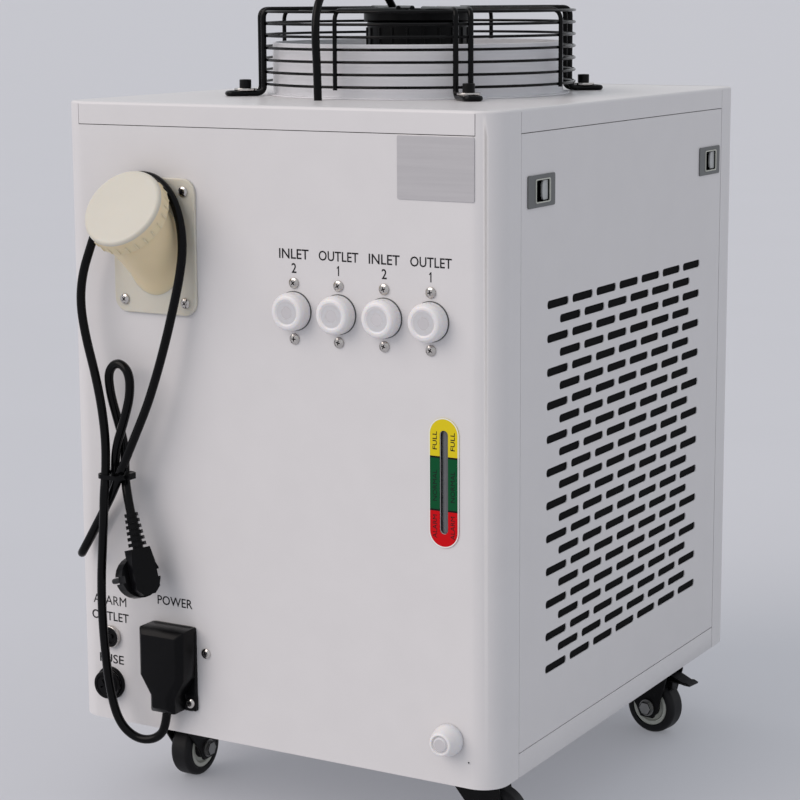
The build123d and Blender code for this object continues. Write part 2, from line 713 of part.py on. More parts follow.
def wire_ring(radius, up, sides=GUARD_RING_SIDES, wire=WIRE):
    outer = RegularPolygon(radius + wire / 2, sides)
    inner = RegularPolygon(radius - wire / 2, sides)
    return extrude(fan_plane(up - wire / 2) * (outer - inner), wire)


def bent_wire(points, wire):
    """Square wire through points, with mitred bends."""
    path = Polyline(*points)
    across = (0, 0, 1) if abs((path % 0).Z) < 0.5 else (1, 0, 0)
    section = Plane(origin=points[0], x_dir=across, z_dir=path % 0) * Rectangle(wire, wire)
    return sweep(section, path, transition=Transition.RIGHT)


def guard_point(angle, radius, up, shift=0.0):
    a = radians(angle)
    x = FAN_ACROSS - CABINET_WIDTH / 2 + radius * cos(a) - shift * sin(a)
    y = FAN_BACK - CABINET_DEPTH / 2 + radius * sin(a) + shift * cos(a)
    return (x, y, FLOOR_GAP + up)


def foot_radius():
    return GUARD_RADIUS + WIRE / 2 + LEG_WIRE / 2 - WELD_SINK


def make_fan_guard():
    """Welded basket: side rings, top rings, single ribs and four pairs of leg wires with looped feet."""
    guard = wire_ring(GUARD_RADIUS, CABINET_HEIGHT + GUARD_RING_PITCH)
    for index in range(1, GUARD_RINGS):
        guard += wire_ring(GUARD_RADIUS, CABINET_HEIGHT + GUARD_RING_PITCH * (index + 1))
    top = guard_top_up()
    for radius in GUARD_TOP_RADII:
        guard += wire_ring(radius, top)
    low = CABINET_HEIGHT + LEG_WIRE / 2
    inner = MOTOR_PLATE_RADIUS - 6.0
    rib_over = top + WIRE / 2 + RIB_WIRE / 2 - WELD_SINK
    for angle in GUARD_RIB_ANGLES:
        rib = [
            guard_point(angle, foot_radius(), CABINET_HEIGHT + GUARD_RING_PITCH - WIRE),
            guard_point(angle, foot_radius(), rib_over),
            guard_point(angle, inner, rib_over),
        ]
        guard += bent_wire(rib, RIB_WIRE)
    over = top + WIRE / 2 + LEG_WIRE / 2 - WELD_SINK
    for angle in GUARD_LEG_ANGLES:
        half = GUARD_LEG_SPREAD / 2
        tip = foot_radius() + GUARD_FOOT_LENGTH
        leg = [
            guard_point(angle, inner, over, half),
            guard_point(angle, foot_radius(), over, half),
            guard_point(angle, foot_radius(), low, half),
            guard_point(angle, tip, low, half),
            guard_point(angle, tip, low, -half),
            guard_point(angle, foot_radius(), low, -half),
            guard_point(angle, foot_radius(), over, -half),
            guard_point(angle, inner, over, -half),
        ]
        guard += bent_wire(leg, LEG_WIRE)
    return guard


def guard_bolt_radius_out():
    return foot_radius() + GUARD_FOOT_LENGTH / 2


def make_guard_bolt(angle):
    """Cap bolt with a washer that clamps a looped foot of the guard to the cover."""
    seat = Plane(origin=guard_point(angle, guard_bolt_radius_out(), CABINET_HEIGHT + LEG_WIRE))
    bolt = prism(seat, GUARD_WASHER_RADIUS, GUARD_WASHER_HEIGHT, GUARD_BOLT_SIDES)
    bolt += prism(seat.offset(GUARD_WASHER_HEIGHT), GUARD_BOLT_RADIUS, GUARD_BOLT_HEAD, GUARD_BOLT_SIDES)
    return bolt + prism(seat, GUARD_BOLT_SHANK, -LEG_WIRE - SHEET - GUARD_BOLT_HEAD / 2, 6)


def guard_bolt_hole(angle):
    top = Plane(origin=guard_point(angle, guard_bolt_radius_out(), CABINET_HEIGHT))
    return well(top, GUARD_BOLT_SHANK + SCREW_CLEARANCE, -SHEET, 6)


# Free cord tubes

def corner_radii(points):
    """Arc radius at each inner point: as large as the shorter of the two runs beside it allows."""
    radii = []
    for before, here, after in zip(points, points[1:], points[2:]):
        a = Vector(*here) - Vector(*before)
        b = Vector(*after) - Vector(*here)
        half_turn = radians(a.get_angle(b)) / 2
        radii.append(0.45 * min(a.length, b.length) / tan(half_turn))
    return radii


def route_path(points):
    return FilletPolyline(*points, radius=corner_radii(points))


def make_route_tube(points, diameter):
    path = route_path(points)
    section = Plane(origin=points[0], z_dir=path % 0) * RegularPolygon(diameter / 2, CORD_SIDES)
    return sweep(section, path)


def report_route(name, points, diameter):
    radii = corner_radii(points)
    path = route_path(points)
    print(name, "length", round(path.length), "mm, diameter", diameter)
    print(name, "radii in diameters", [round(r / diameter, 1) for r in radii])


# Filler

def filler_axis_plane(distance):
    """Plane across the tilted neck, at a distance along its axis from the rear face."""
    tilt = radians(FILLER_TILT)
    foot = rear_plane(FILLER_ACROSS, FILLER_AXIS_UP).origin
    normal = Vector(0, -cos(tilt), sin(tilt))
    return Plane(origin=foot + normal * distance, x_dir=(1, 0, 0), z_dir=normal)


def make_filler_neck():
    plate_face = RectangleRounded(FILLER_PLATE_WIDTH, FILLER_PLATE_HEIGHT, FILLER_PLATE_CORNER)
    plate = extrude(rear_plane(FILLER_ACROSS, FILLER_UP) * plate_face, FILLER_PLATE_THICKNESS)
    start = -FILLER_NECK_ROOT_RADIUS * tan(radians(FILLER_TILT))
    root = filler_axis_plane(start) * Circle(FILLER_NECK_ROOT_RADIUS)
    end = filler_axis_plane(FILLER_NECK_LENGTH) * Circle(FILLER_NECK_END_RADIUS)
    neck = loft([root, end])
    behind = rear_plane(FILLER_ACROSS, FILLER_UP)
    neck -= block(behind, 2 * FILLER_PLATE_WIDTH, 2 * FILLER_PLATE_HEIGHT, -FILLER_PLATE_HEIGHT)
    for place in filler_screw_places():
        plate -= screw_hole(*place, FILLER_PLATE_THICKNESS)
    bore = rod(filler_axis_plane(-FILLER_NECK_LENGTH), FILLER_BORE_RADIUS, 2 * FILLER_NECK_LENGTH)
    return plate + neck - bore


def make_filler_cap():
    """Screw cap over the neck: a skirt with a soft edge round its closed face."""
    back = FILLER_NECK_LENGTH - FILLER_CAP_SKIRT
    length = FILLER_CAP_SKIRT + FILLER_CAP_TOP + SEAT_GAP
    cap = prism(filler_axis_plane(back), FILLER_CAP_RADIUS, length, FILLER_CAP_SIDES)
    outward = filler_axis_plane(0).z_dir
    front = cap.faces().sort_by(lambda face: face.center().dot(outward))[-1]
    cap = chamfer(front.edges(), FILLER_CAP_EDGE)
    cavity = FILLER_NECK_END_RADIUS + SEAT_GAP
    return cap - well(filler_axis_plane(back), cavity, FILLER_CAP_SKIRT + SEAT_GAP, FILLER_CAP_SIDES)


# Water ports, gauge and drain

def make_port_fitting(index):
    """Threaded bulkhead socket with a flange behind the panel that takes the two screws."""
    across = port_across(index)
    behind = rear_plane(across, PORT_UP, -SHEET - PORT_FLANGE_THICKNESS)
    start = rear_plane(across, PORT_UP, PORT_SOCKET_PROUD - PORT_SOCKET_LENGTH)
    fitting = block(behind, PORT_FLANGE_WIDTH, PORT_FLANGE_HEIGHT, PORT_FLANGE_THICKNESS)
    fitting += prism(start, PORT_SOCKET_RADIUS + PORT_SOCKET_WALL, PORT_SOCKET_LENGTH)
    for place in port_screw_places(index):
        fitting -= screw_hole(*place, PORT_FLANGE_THICKNESS + SHEET)
    return fitting - rod(start, PORT_SOCKET_RADIUS, PORT_SOCKET_LENGTH)


def make_port_cap(index):
    """Domed cap over a socket, with a shallow round recess in its face."""
    base = rear_plane(port_across(index), PORT_UP, SEAT_GAP)
    cap = prism(base, PORT_CAP_RADIUS, PORT_CAP_LENGTH)
    cap = chamfer(cap.faces().sort_by(Axis.Y)[0].edges(), PORT_CAP_DOME)
    face = rear_plane(port_across(index), PORT_UP, SEAT_GAP + PORT_CAP_LENGTH)
    cap -= prism(face, PORT_CAP_RECESS_RADIUS, -PORT_CAP_RECESS_DEPTH)
    return cap - well(base, PORT_SOCKET_RADIUS + PORT_SOCKET_WALL + SEAT_GAP, PORT_SOCKET_PROUD)


def make_level_bezel():
    plane = rear_plane(GAUGE_ACROSS, GAUGE_UP)
    outline = SlotOverall(GAUGE_LENGTH, GAUGE_WIDTH, rotation=90)
    window = SlotOverall(GAUGE_SLOT_LENGTH, GAUGE_SLOT_WIDTH, rotation=90)
    return extrude(plane * (outline - window), GAUGE_THICKNESS)


def make_level_tube():
    """Clear sight tube behind the slot, joined to the tank by a short port at each end."""
    out = -SHEET - SEAT_GAP - GAUGE_TUBE_RADIUS
    x = GAUGE_ACROSS - CABINET_WIDTH / 2
    y = -CABINET_DEPTH / 2 - out
    low = FLOOR_GAP + GAUGE_UP - GAUGE_TUBE_LENGTH / 2
    bore = GAUGE_TUBE_RADIUS - GAUGE_TUBE_WALL
    glass = prism(Plane(origin=(x, y, low)), GAUGE_TUBE_RADIUS, GAUGE_TUBE_LENGTH)
    glass -= prism(Plane(origin=(x, y, low)), bore, GAUGE_TUBE_LENGTH)
    reach = TANK_BACK + out - SEAT_GAP
    for height in (2 * bore, GAUGE_TUBE_LENGTH - 2 * bore):
        port = Plane(origin=(x, y + bore, low + height), x_dir=(1, 0, 0), z_dir=(0, 1, 0))
        glass += prism(port, bore, reach - bore)
    return glass


def make_drain_fitting():
    """Drain tube from the tank through the panel, with a hexagonal nut on the outside."""
    length = TANK_BACK + DRAIN_SOCKET_PROUD - SEAT_GAP
    start = rear_plane(DRAIN_ACROSS, DRAIN_UP, SEAT_GAP - TANK_BACK)
    fitting = prism(start, DRAIN_SOCKET_RADIUS + DRAIN_SOCKET_WALL, length)
    fitting += prism(rear_plane(DRAIN_ACROSS, DRAIN_UP), DRAIN_NUT_RADIUS, DRAIN_NUT_HEIGHT, 6)
    return fitting - rod(start, DRAIN_SOCKET_RADIUS, length)


def make_drain_cap():
    base = rear_plane(DRAIN_ACROSS, DRAIN_UP, DRAIN_NUT_HEIGHT + SEAT_GAP)
    cap = prism(base, DRAIN_CAP_RADIUS, DRAIN_CAP_LENGTH)
    cap = chamfer(cap.faces().sort_by(Axis.Y)[0].edges(), DRAIN_CAP_EDGE)
    cavity = DRAIN_SOCKET_RADIUS + DRAIN_SOCKET_WALL + SEAT_GAP
    return cap - well(base, cavity, DRAIN_SOCKET_PROUD - DRAIN_NUT_HEIGHT)


# Electrical fittings on the rear panel

def make_alarm_socket():
    face = rear_plane(ALARM_ACROSS, ALARM_UP, ALARM_PROUD)
    socket = prism(face, ALARM_RADIUS, -ALARM_PROUD)
    socket += prism(rear_plane(ALARM_ACROSS, ALARM_UP), ALARM_BODY_RADIUS, -ALARM_BODY_DEPTH)
    return socket - prism(face, ALARM_RADIUS - ALARM_RIM, -ALARM_PROUD)


def make_fuse_holder():
    face = rear_plane(FUSE_ACROSS, FUSE_UP, FUSE_HOLDER_PROUD)
    holder = prism(face, FUSE_HOLDER_RADIUS, -FUSE_HOLDER_PROUD)
    holder += prism(rear_plane(FUSE_ACROSS, FUSE_UP), FUSE_BODY_RADIUS, -FUSE_BODY_DEPTH)
    return holder - well(face, FUSE_STEM_RADIUS + SEAT_GAP, -FUSE_STEM_LENGTH - 1.0)


def make_fuse_cap():
    """Fuse carrier: a knob with a screwdriver slot on a stem that goes into the holder."""
    foot = rear_plane(FUSE_ACROSS, FUSE_UP, FUSE_HOLDER_PROUD + SEAT_GAP)
    front = rear_plane(FUSE_ACROSS, FUSE_UP, FUSE_HOLDER_PROUD + SEAT_GAP + FUSE_CAP_HEIGHT)
    cap = prism(foot, FUSE_CAP_RADIUS, FUSE_CAP_HEIGHT) + prism(foot, FUSE_STEM_RADIUS, -FUSE_STEM_LENGTH)
    return cap - block(front, FUSE_SLOT_WIDTH, FUSE_SLOT_LENGTH, -FUSE_SLOT_WIDTH)


def make_power_inlet():
    """Appliance inlet: a hollow block through the panel with a rim outside it and three flat pins."""
    wide = INLET_WIDTH + 2 * INLET_RIM
    high = INLET_HEIGHT + 2 * INLET_RIM
    inlet = block(rear_plane(INLET_ACROSS, INLET_UP), wide, high, INLET_RIM_THICKNESS)
    inlet += block(rear_plane(INLET_ACROSS, INLET_UP), INLET_WIDTH, INLET_HEIGHT, -INLET_DEPTH)
    floor_out = INLET_WALL - INLET_DEPTH
    hollow = rear_plane(INLET_ACROSS, INLET_UP, floor_out)
    inlet -= block(hollow, INLET_WIDTH - 2 * INLET_WALL, INLET_HEIGHT - 2 * INLET_WALL, 2 * INLET_DEPTH)
    for across, up in INLET_PINS:
        pin = rear_plane(INLET_ACROSS + across, INLET_UP + up, floor_out)
        inlet += block(pin, INLET_PIN_WIDTH, 2 * INLET_PIN_WIDTH, INLET_PIN_LENGTH)
    return inlet


def cover_profile(inset=0.0):
    """Front outline of the power cover: a block that tapers to a neck at the bottom."""
    half = COVER_WIDTH / 2 - inset
    neck = COVER_NECK_WIDTH / 2 - inset
    low = -COVER_HEIGHT / 2 + inset
    high = COVER_HEIGHT / 2 - inset
    neck_top = -COVER_HEIGHT / 2 + COVER_NECK_UP
    shoulder = neck_top + COVER_TAPER_UP
    right = [(neck, low), (neck, neck_top), (half, shoulder), (half, high)]
    left = [(-x, y) for x, y in reversed(right)]
    return make_face(Polyline(*right, *left, close=True))


def cover_ear_places():
    """Across, up and out for the screws through the two ears of the power cover."""
    shift = (COVER_NECK_WIDTH + COVER_EAR_WIDTH) / 2
    up = COVER_UP - (COVER_HEIGHT - COVER_EAR_HEIGHT) / 2
    return [(INLET_ACROSS + side * shift, up, COVER_EAR_THICKNESS) for side in (-1, 1)]


def make_power_cover():
    """Moulded hood over the inlet, with bevelled front edges and a screw ear on each side of its neck."""
    plane = rear_plane(INLET_ACROSS, COVER_UP)
    hood = extrude(plane * cover_profile(), COVER_DEPTH)
    hood = chamfer(hood.faces().sort_by(Axis.Y)[0].edges(), COVER_EDGE)
    hollow_depth = COVER_DEPTH - COVER_WALL - COVER_EDGE / 2
    hood -= extrude(plane * cover_profile(COVER_WALL), hollow_depth)
    for across, up, _ in cover_ear_places():
        ear = block(rear_plane(across, up), COVER_EAR_WIDTH, COVER_EAR_HEIGHT, COVER_EAR_THICKNESS)
        hood += ear - screw_hole(across, up, COVER_EAR_THICKNESS, COVER_EAR_THICKNESS)
    mouth = Plane(origin=route_point(INLET_ACROSS, CORD_EXIT_OUT, COVER_UP - COVER_HEIGHT / 2))
    return hood - extrude(mouth * Circle(CORD_DIAMETER / 2 + CORD_EXIT_GAP), 2 * COVER_WALL, both=True)


# Panel screws: each place is across, up and out from the rear face's lower left corner

def port_screw_places(index):
    return [(port_across(index), PORT_UP + side * PORT_SCREW_SPACING / 2, 0.0) for side in (-1, 1)]


def filler_screw_places():
    places = []
    for across in (-1, 1):
        for up in (-1, 1):
            x = FILLER_ACROSS + across * FILLER_SCREW_ACROSS / 2
            places.append((x, FILLER_UP + up * FILLER_SCREW_UP / 2, FILLER_PLATE_THICKNESS))
    return places


def screw_places():
    ports = [place for index in range(PORT_COUNT) for place in port_screw_places(index)]
    return ports + filler_screw_places() + cover_ear_places() + [EARTH_SCREW]


def screw_hole(across, up, out, depth):
    return well(rear_plane(across, up, out), SCREW_SHANK_RADIUS + SCREW_CLEARANCE, -depth, SCREW_SHANK_SIDES)


def make_screw(across, up, out):
    """Pan-head screw; its head lies on the surface that is this far out."""
    seat = rear_plane(across, up, out)
    screw = prism(seat, SCREW_HEAD_RADIUS, SCREW_HEAD_HEIGHT, SCREW_HEAD_SIDES)
    return screw + prism(seat, SCREW_SHANK_RADIUS, -SCREW_SHANK_LENGTH, SCREW_SHANK_SIDES)


# Power cord, cable tie and plug

def route_point(across, out, up):
    return (across - CABINET_WIDTH / 2, -CABINET_DEPTH / 2 - out, FLOOR_GAP + up)


def cord_points():
    return [route_point(*point) for point in CORD_ROUTE]


def fan_cable_points():
    return [(x, y, FLOOR_GAP + up) for x, y, up in FAN_CABLE_ROUTE]


def make_cable_tie():
    """Narrow strap round the four cord strands, with its ratchet head."""
    low = Plane(origin=route_point(TIE_ACROSS, TIE_OUT, TIE_UP - TIE_HEIGHT / 2))
    strap = RectangleRounded(TIE_WIDTH + 2 * TIE_BAND, TIE_DEPTH + 2 * TIE_BAND, TIE_CORNER + TIE_BAND)
    tie = extrude(low * (strap - RectangleRounded(TIE_WIDTH, TIE_DEPTH, TIE_CORNER)), TIE_HEIGHT)
    head = Pos(TIE_WIDTH / 2 + TIE_HEAD / 2, 0) * Rectangle(TIE_HEAD, 1.5 * TIE_HEAD)
    return tie + extrude(low * head, TIE_HEAD)


def plug_plane():
    """Back of the plug's round disc: its normal points along the pins and its X axis up the neck."""
    *_, before, end = [Vector(*point) for point in cord_points()]
    down = (end - before).normalized()
    turn = radians(PLUG_TURN)
    level = Vector(-cos(turn), sin(turn), 0)
    pins = (level - down * level.dot(down)).normalized()
    centre = end + down * (PLUG_RELIEF_LENGTH + PLUG_NECK_UP)
    return Plane(origin=centre + pins * (PLUG_BACK / 2), x_dir=-down, z_dir=pins)


def make_strain_relief():
    """Ribbed sleeve that widens from the cord's end to the plug's neck."""
    plane = plug_plane()
    top = Plane(origin=cord_points()[-1], z_dir=-plane.x_dir)
    pitch = PLUG_RELIEF_LENGTH / PLUG_RIBS
    relief = prism(top, PLUG_RELIEF_TOP_RADIUS - PLUG_RIB_DEPTH, PLUG_RELIEF_LENGTH, PLUG_RIB_SIDES)
    for index in range(PLUG_RIBS):
        grow = (PLUG_RELIEF_FOOT_RADIUS - PLUG_RELIEF_TOP_RADIUS) * index / (PLUG_RIBS - 1)
        rib = top.offset(pitch * index)
        relief += prism(rib, PLUG_RELIEF_TOP_RADIUS + grow, pitch * PLUG_RIB_SHARE, PLUG_RIB_SIDES)
    return relief


def make_mains_plug():
    """Angled plug: a round disc with side notches and two pins, a raised back and a ribbed relief."""
    plane = plug_plane()
    plug = prism(plane, PLUG_RADIUS, PLUG_DISC, PLUG_SIDES)
    for side in (-1, 1):
        notch = Pos(0, side * PLUG_RADIUS) * Rectangle(PLUG_NOTCH, PLUG_NOTCH)
        plug -= extrude(plane * notch, PLUG_DISC)
        pin = Pos(0, side * PLUG_PIN_SPACING / 2) * RegularPolygon(PLUG_PIN_RADIUS, SCREW_HEAD_SIDES)
        plug += extrude(plane.offset(PLUG_DISC) * pin, PLUG_PIN_LENGTH)
    half = PLUG_BACK_WIDTH / 2
    shoulder = 0.6 * PLUG_RADIUS
    outline = [(PLUG_NECK_UP, 0.8 * half), (shoulder, half), (-shoulder, half), (-0.9 * PLUG_RADIUS, 0.5 * half)]
    back = make_face(Polyline(*outline, *[(x, -y) for x, y in reversed(outline)], close=True))
    plug += extrude(plane * back, -PLUG_BACK)
    neck = Pos((PLUG_NECK_UP + shoulder) / 2, 0) * Rectangle(PLUG_NECK_UP - shoulder, 1.6 * half)
    plug += extrude(plane * neck, PLUG_DISC / 3)
    return plug + make_strain_relief()


# Casters: each piece is made trailing along +X with its kingpin on the Z axis, and then placed

def place_caster(shape, across, back, angle):
    return level_plane(across, back, 0).location * Rot(0, 0, angle) * shape


def crown_up():
    """Underside of the fork's crown."""
    return -CASTER_PLATE - SEAT_GAP - RACE_HEIGHT - FORK_SHEET


def axle_up():
    return WHEEL_RADIUS - FLOOR_GAP


def crosswise(x, up, side=0.0):
    """Plane on the caster's mid plane, or beside it, with its normal along the axle."""
    return Plane(origin=(x, -side, up), x_dir=(1, 0, 0), z_dir=(0, -1, 0))


def make_caster_plate():
    """Top plate below the base, with the riveted kingpin that the fork turns on."""
    plate = extrude(Pos(0, 0, -CASTER_PLATE) * Rectangle(CASTER_PLATE_WIDTH, CASTER_PLATE_LENGTH), CASTER_PLATE)
    rivet_top = crown_up() - SEAT_GAP
    plate += prism(Plane.XY.offset(rivet_top), KINGPIN_RADIUS, -CASTER_PLATE - rivet_top, BORE_SIDES)
    return plate + prism(Plane.XY.offset(rivet_top), KINGPIN_HEAD_RADIUS, -KINGPIN_HEAD)


def make_fork(braked):
    """Pressed fork: ball race, crown and two legs that taper to the axle, with the axle bolt in place."""
    front = CASTER_TRAIL + (FORK_FRONT_WITH_BRAKE if braked else FORK_FRONT)
    back = -FORK_CROWN_LENGTH / 2
    top = crown_up() + FORK_SHEET
    inner = WHEEL_HUB_WIDTH / 2 + SEAT_GAP
    outer = inner + FORK_SHEET
    fork = prism(Plane.XY.offset(top), RACE_RADIUS, RACE_HEIGHT)
    fork += extrude(Pos((front + back) / 2, 0, crown_up()) * Rectangle(front - back, 2 * outer), FORK_SHEET)
    eye = FORK_EYE_RADIUS
    ankle = CASTER_TRAIL - 0.6 * eye
    toe = CASTER_TRAIL + 0.6 * eye
    sole = axle_up() - 0.8 * eye
    outline = [(back, top), (ankle - 0.4 * eye, axle_up()), (ankle, sole), (toe, sole)]
    outline += [(toe + 0.4 * eye, axle_up()), (front, crown_up() - 0.2 * eye), (front, top)]
    leg = make_face(Polyline(*outline, close=True))
    for low_side in (-inner, outer):
        fork += extrude(crosswise(0, 0, low_side) * leg, -FORK_SHEET)
    fork -= well(Plane.XY.offset(crown_up()), KINGPIN_RADIUS + RUNNING_GAP, 2 * RACE_HEIGHT, BORE_SIDES)
    fork -= well(crosswise(CASTER_TRAIL, axle_up(), 2 * outer), AXLE_RADIUS + RUNNING_GAP, -4 * outer, BORE_SIDES)
    axle = prism(crosswise(CASTER_TRAIL, axle_up(), outer), AXLE_RADIUS, -2 * outer, BORE_SIDES)
    for side in (-1, 1):
        head = crosswise(CASTER_TRAIL, axle_up(), side * outer)
        axle += prism(head, AXLE_HEAD_RADIUS, side * AXLE_HEAD_HEIGHT, 6)
    pieces = [fork, axle]
    if braked:
        pin = crosswise(CASTER_TRAIL + PEDAL_PIN_AHEAD, axle_up() + PEDAL_PIN_LIFT, outer)
        pieces[0] += prism(pin, PEDAL_PIN_RADIUS, -2 * outer, BORE_SIDES)
    return pieces


def make_wheel():
    """Tyre moulded on its core, with dished sides and a hub that spans the fork."""
    half = WHEEL_WIDTH / 2
    wheel = prism(crosswise(CASTER_TRAIL, axle_up(), half), WHEEL_RADIUS, -WHEEL_WIDTH, LARGE_ROUND_SIDES)
    for end in (0, -1):
        wheel = chamfer(wheel.faces().sort_by(Axis.Y)[end].edges(), WHEEL_EDGE)
    for side in (-1, 1):
        dish = crosswise(CASTER_TRAIL, axle_up(), side * half)
        wheel -= prism(dish, WHEEL_DISH_RADIUS, -side * WHEEL_DISH_DEPTH)
    hub = crosswise(CASTER_TRAIL, axle_up(), WHEEL_HUB_WIDTH / 2)
    wheel += prism(hub, WHEEL_HUB_RADIUS, -WHEEL_HUB_WIDTH)
    return wheel - well(hub, AXLE_RADIUS + RUNNING_GAP, -WHEEL_HUB_WIDTH, BORE_SIDES)


def make_brake_pedal():
    """Brake lever on its pin between the fork's legs: a tread ahead and a shoe above the wheel."""
    x = CASTER_TRAIL + PEDAL_PIN_AHEAD
    z = axle_up() + PEDAL_PIN_LIFT
    half = PEDAL_PIN_RADIUS + 2.0
    outline = [(-half, 3.6), (half, 3.6), (PEDAL_REACH - 3.0, -3.0), (PEDAL_REACH, -8.5)]
    outline += [(PEDAL_REACH - 2.5, -9.0), (PEDAL_REACH - 5.5, -5.2), (half, 0.5 - half), (half, -6.0), (-half, -6.0)]
    profile = make_face(Polyline(*outline, close=True))
    pedal = extrude(crosswise(x, z) * profile, PEDAL_WIDTH / 2, both=True)
    return pedal - well(crosswise(x, z, PEDAL_WIDTH), PEDAL_PIN_RADIUS + RUNNING_GAP, -2 * PEDAL_WIDTH, BORE_SIDES)


# Pieces inside the cabinet

def tower_section(inset):
    """Side view of the tank's filling tower, by distance back and height."""
    top = TOWER_TOP - inset
    front = SHEET + SEAT_GAP + inset
    rear = TOWER_REAR - inset
    foot = FLOOR_SHEET + TANK_HEIGHT - TANK_EDGE
    outline = [(front, top), (rear, top), (rear, foot), (TANK_BACK + inset, foot), (front, TOWER_LOW + inset)]
    side = Plane(origin=level_plane(FILLER_ACROSS, 0, 0).origin, x_dir=(0, 1, 0), z_dir=(1, 0, 0))
    return side * make_face(Polyline(*outline, close=True))


def make_water_tank():
    """Moulded tank with a tower that rises behind the filler and opens to its bore."""
    centre = TANK_BACK + TANK_DEPTH / 2
    outer = RectangleRounded(TANK_WIDTH, TANK_DEPTH, TANK_EDGE)
    tank = extrude(level_plane(TANK_ACROSS, centre, FLOOR_SHEET) * outer, TANK_HEIGHT)
    tank += extrude(tower_section(0), TOWER_WIDTH / 2, both=True)
    inner = Rectangle(TANK_WIDTH - 2 * TANK_WALL, TANK_DEPTH - 2 * TANK_WALL)
    floor = level_plane(TANK_ACROSS, centre, FLOOR_SHEET + TANK_WALL)
    tank -= extrude(floor * inner, TANK_HEIGHT - 2 * TANK_WALL)
    tank -= extrude(tower_section(TANK_WALL), TOWER_WIDTH / 2 - TANK_WALL, both=True)
    return tank - prism(filler_axis_plane(-TANK_BACK), FILLER_BORE_RADIUS, 2 * TANK_BACK)


def make_pump():
    """Motor and volute on a common foot, with the outlet stub on top."""
    up = FLOOR_SHEET + PUMP_FOOT_HEIGHT + PUMP_VOLUTE_RADIUS
    front = level_plane(PUMP_ACROSS, PUMP_BACK, up)
    along = Plane(origin=front.origin, x_dir=(1, 0, 0), z_dir=(0, 1, 0))
    pump = prism(along, PUMP_VOLUTE_RADIUS, PUMP_VOLUTE_LENGTH)
    pump += prism(along.offset(PUMP_VOLUTE_LENGTH), PUMP_MOTOR_RADIUS, PUMP_MOTOR_LENGTH)
    outlet = level_plane(PUMP_ACROSS, PUMP_BACK + PUMP_VOLUTE_LENGTH / 2, up)
    pump += prism(outlet, PUMP_OUTLET_RADIUS, PUMP_VOLUTE_RADIUS + PUMP_OUTLET_RADIUS)
    length = PUMP_VOLUTE_LENGTH + PUMP_MOTOR_LENGTH
    foot = level_plane(PUMP_ACROSS, PUMP_BACK + length / 2, FLOOR_SHEET)
    return pump + block(foot, 1.4 * PUMP_MOTOR_RADIUS, length, PUMP_FOOT_HEIGHT + PUMP_VOLUTE_RADIUS / 2)


def make_compressor():
    """Hermetic compressor: a can with bevelled ends on a foot plate."""
    low = FLOOR_SHEET + COMPRESSOR_FOOT
    can = prism(level_plane(COMPRESSOR_ACROSS, COMPRESSOR_BACK, low), COMPRESSOR_RADIUS, COMPRESSOR_HEIGHT)
    for end in (0, -1):
        can = chamfer(can.faces().sort_by(Axis.Z)[end].edges(), COMPRESSOR_RADIUS / 3)
    foot = level_plane(COMPRESSOR_ACROSS, COMPRESSOR_BACK, FLOOR_SHEET)
    return can + block(foot, 2.1 * COMPRESSOR_RADIUS, COMPRESSOR_RADIUS, COMPRESSOR_FOOT)


def make_condenser():
    """Condenser core behind the right grille: a frame filled with upright fins."""
    across = CABINET_WIDTH - CONDENSER_SIDE_GAP - CONDENSER_THICKNESS / 2
    floor = level_plane(across, CONDENSER_BACK, FLOOR_SHEET)
    frame = Rectangle(CONDENSER_THICKNESS, CONDENSER_LENGTH)
    condenser = extrude(floor * frame, CONDENSER_HEIGHT)
    inner = block(
        floor.offset(CONDENSER_FRAME),
        CONDENSER_THICKNESS,
        CONDENSER_LENGTH - 2 * CONDENSER_FRAME,
        CONDENSER_HEIGHT - 2 * CONDENSER_FRAME,
    )
    condenser -= inner
    pitch = (CONDENSER_LENGTH - 2 * CONDENSER_FRAME) / CONDENSER_FINS
    for index in range(CONDENSER_FINS):
        back = CONDENSER_BACK + (index - (CONDENSER_FINS - 1) / 2) * pitch
        fin = level_plane(across, back, FLOOR_SHEET)
        condenser += block(fin, CONDENSER_CORE_DEPTH, pitch / 2, CONDENSER_HEIGHT)
    return condenser


def front_plane(across, up, inward=0.0):
    """Plane on the front face, facing away from the cabinet, by distances from its centre line."""
    origin = (across, CABINET_DEPTH / 2 - inward, FLOOR_GAP + up)
    return Plane(origin=origin, x_dir=(-1, 0, 0), z_dir=(0, 1, 0))


def make_electrical_box():
    plane = front_plane(ELECTRICAL_ACROSS, ELECTRICAL_UP, SHEET + SEAT_GAP)
    box = block(plane, ELECTRICAL_WIDTH, ELECTRICAL_HEIGHT, -ELECTRICAL_DEPTH)
    return chamfer(box.faces().sort_by(Axis.Y)[0].edges(), CONTROLLER_BEZEL)


def make_controller():
    """Temperature controller through the front panel: bezel, sunk display, four keys and a body behind."""
    plane = front_plane(0, CONTROLLER_UP)
    face = front_plane(0, CONTROLLER_UP, -CONTROLLER_PROUD)
    wide = CONTROLLER_WIDTH + 2 * CONTROLLER_BEZEL
    high = CONTROLLER_HEIGHT + 2 * CONTROLLER_BEZEL
    controller = block(plane, wide, high, CONTROLLER_PROUD)
    controller += block(plane, CONTROLLER_WIDTH, CONTROLLER_HEIGHT, -CONTROLLER_DEPTH)
    display = Pos(-CONTROLLER_WIDTH / 6, 0) * Rectangle(CONTROLLER_WIDTH / 2, CONTROLLER_HEIGHT * 0.6)
    controller -= extrude(face * display, -CONTROLLER_PROUD / 2)
    for column in (0, 1):
        for row in (-1, 1):
            place = Pos(CONTROLLER_WIDTH * (0.26 + 0.16 * column), row * CONTROLLER_HEIGHT / 4)
            controller += extrude(face * (place * Rectangle(KEY_SIZE, KEY_SIZE)), KEY_PROUD)
    return controller


# Export

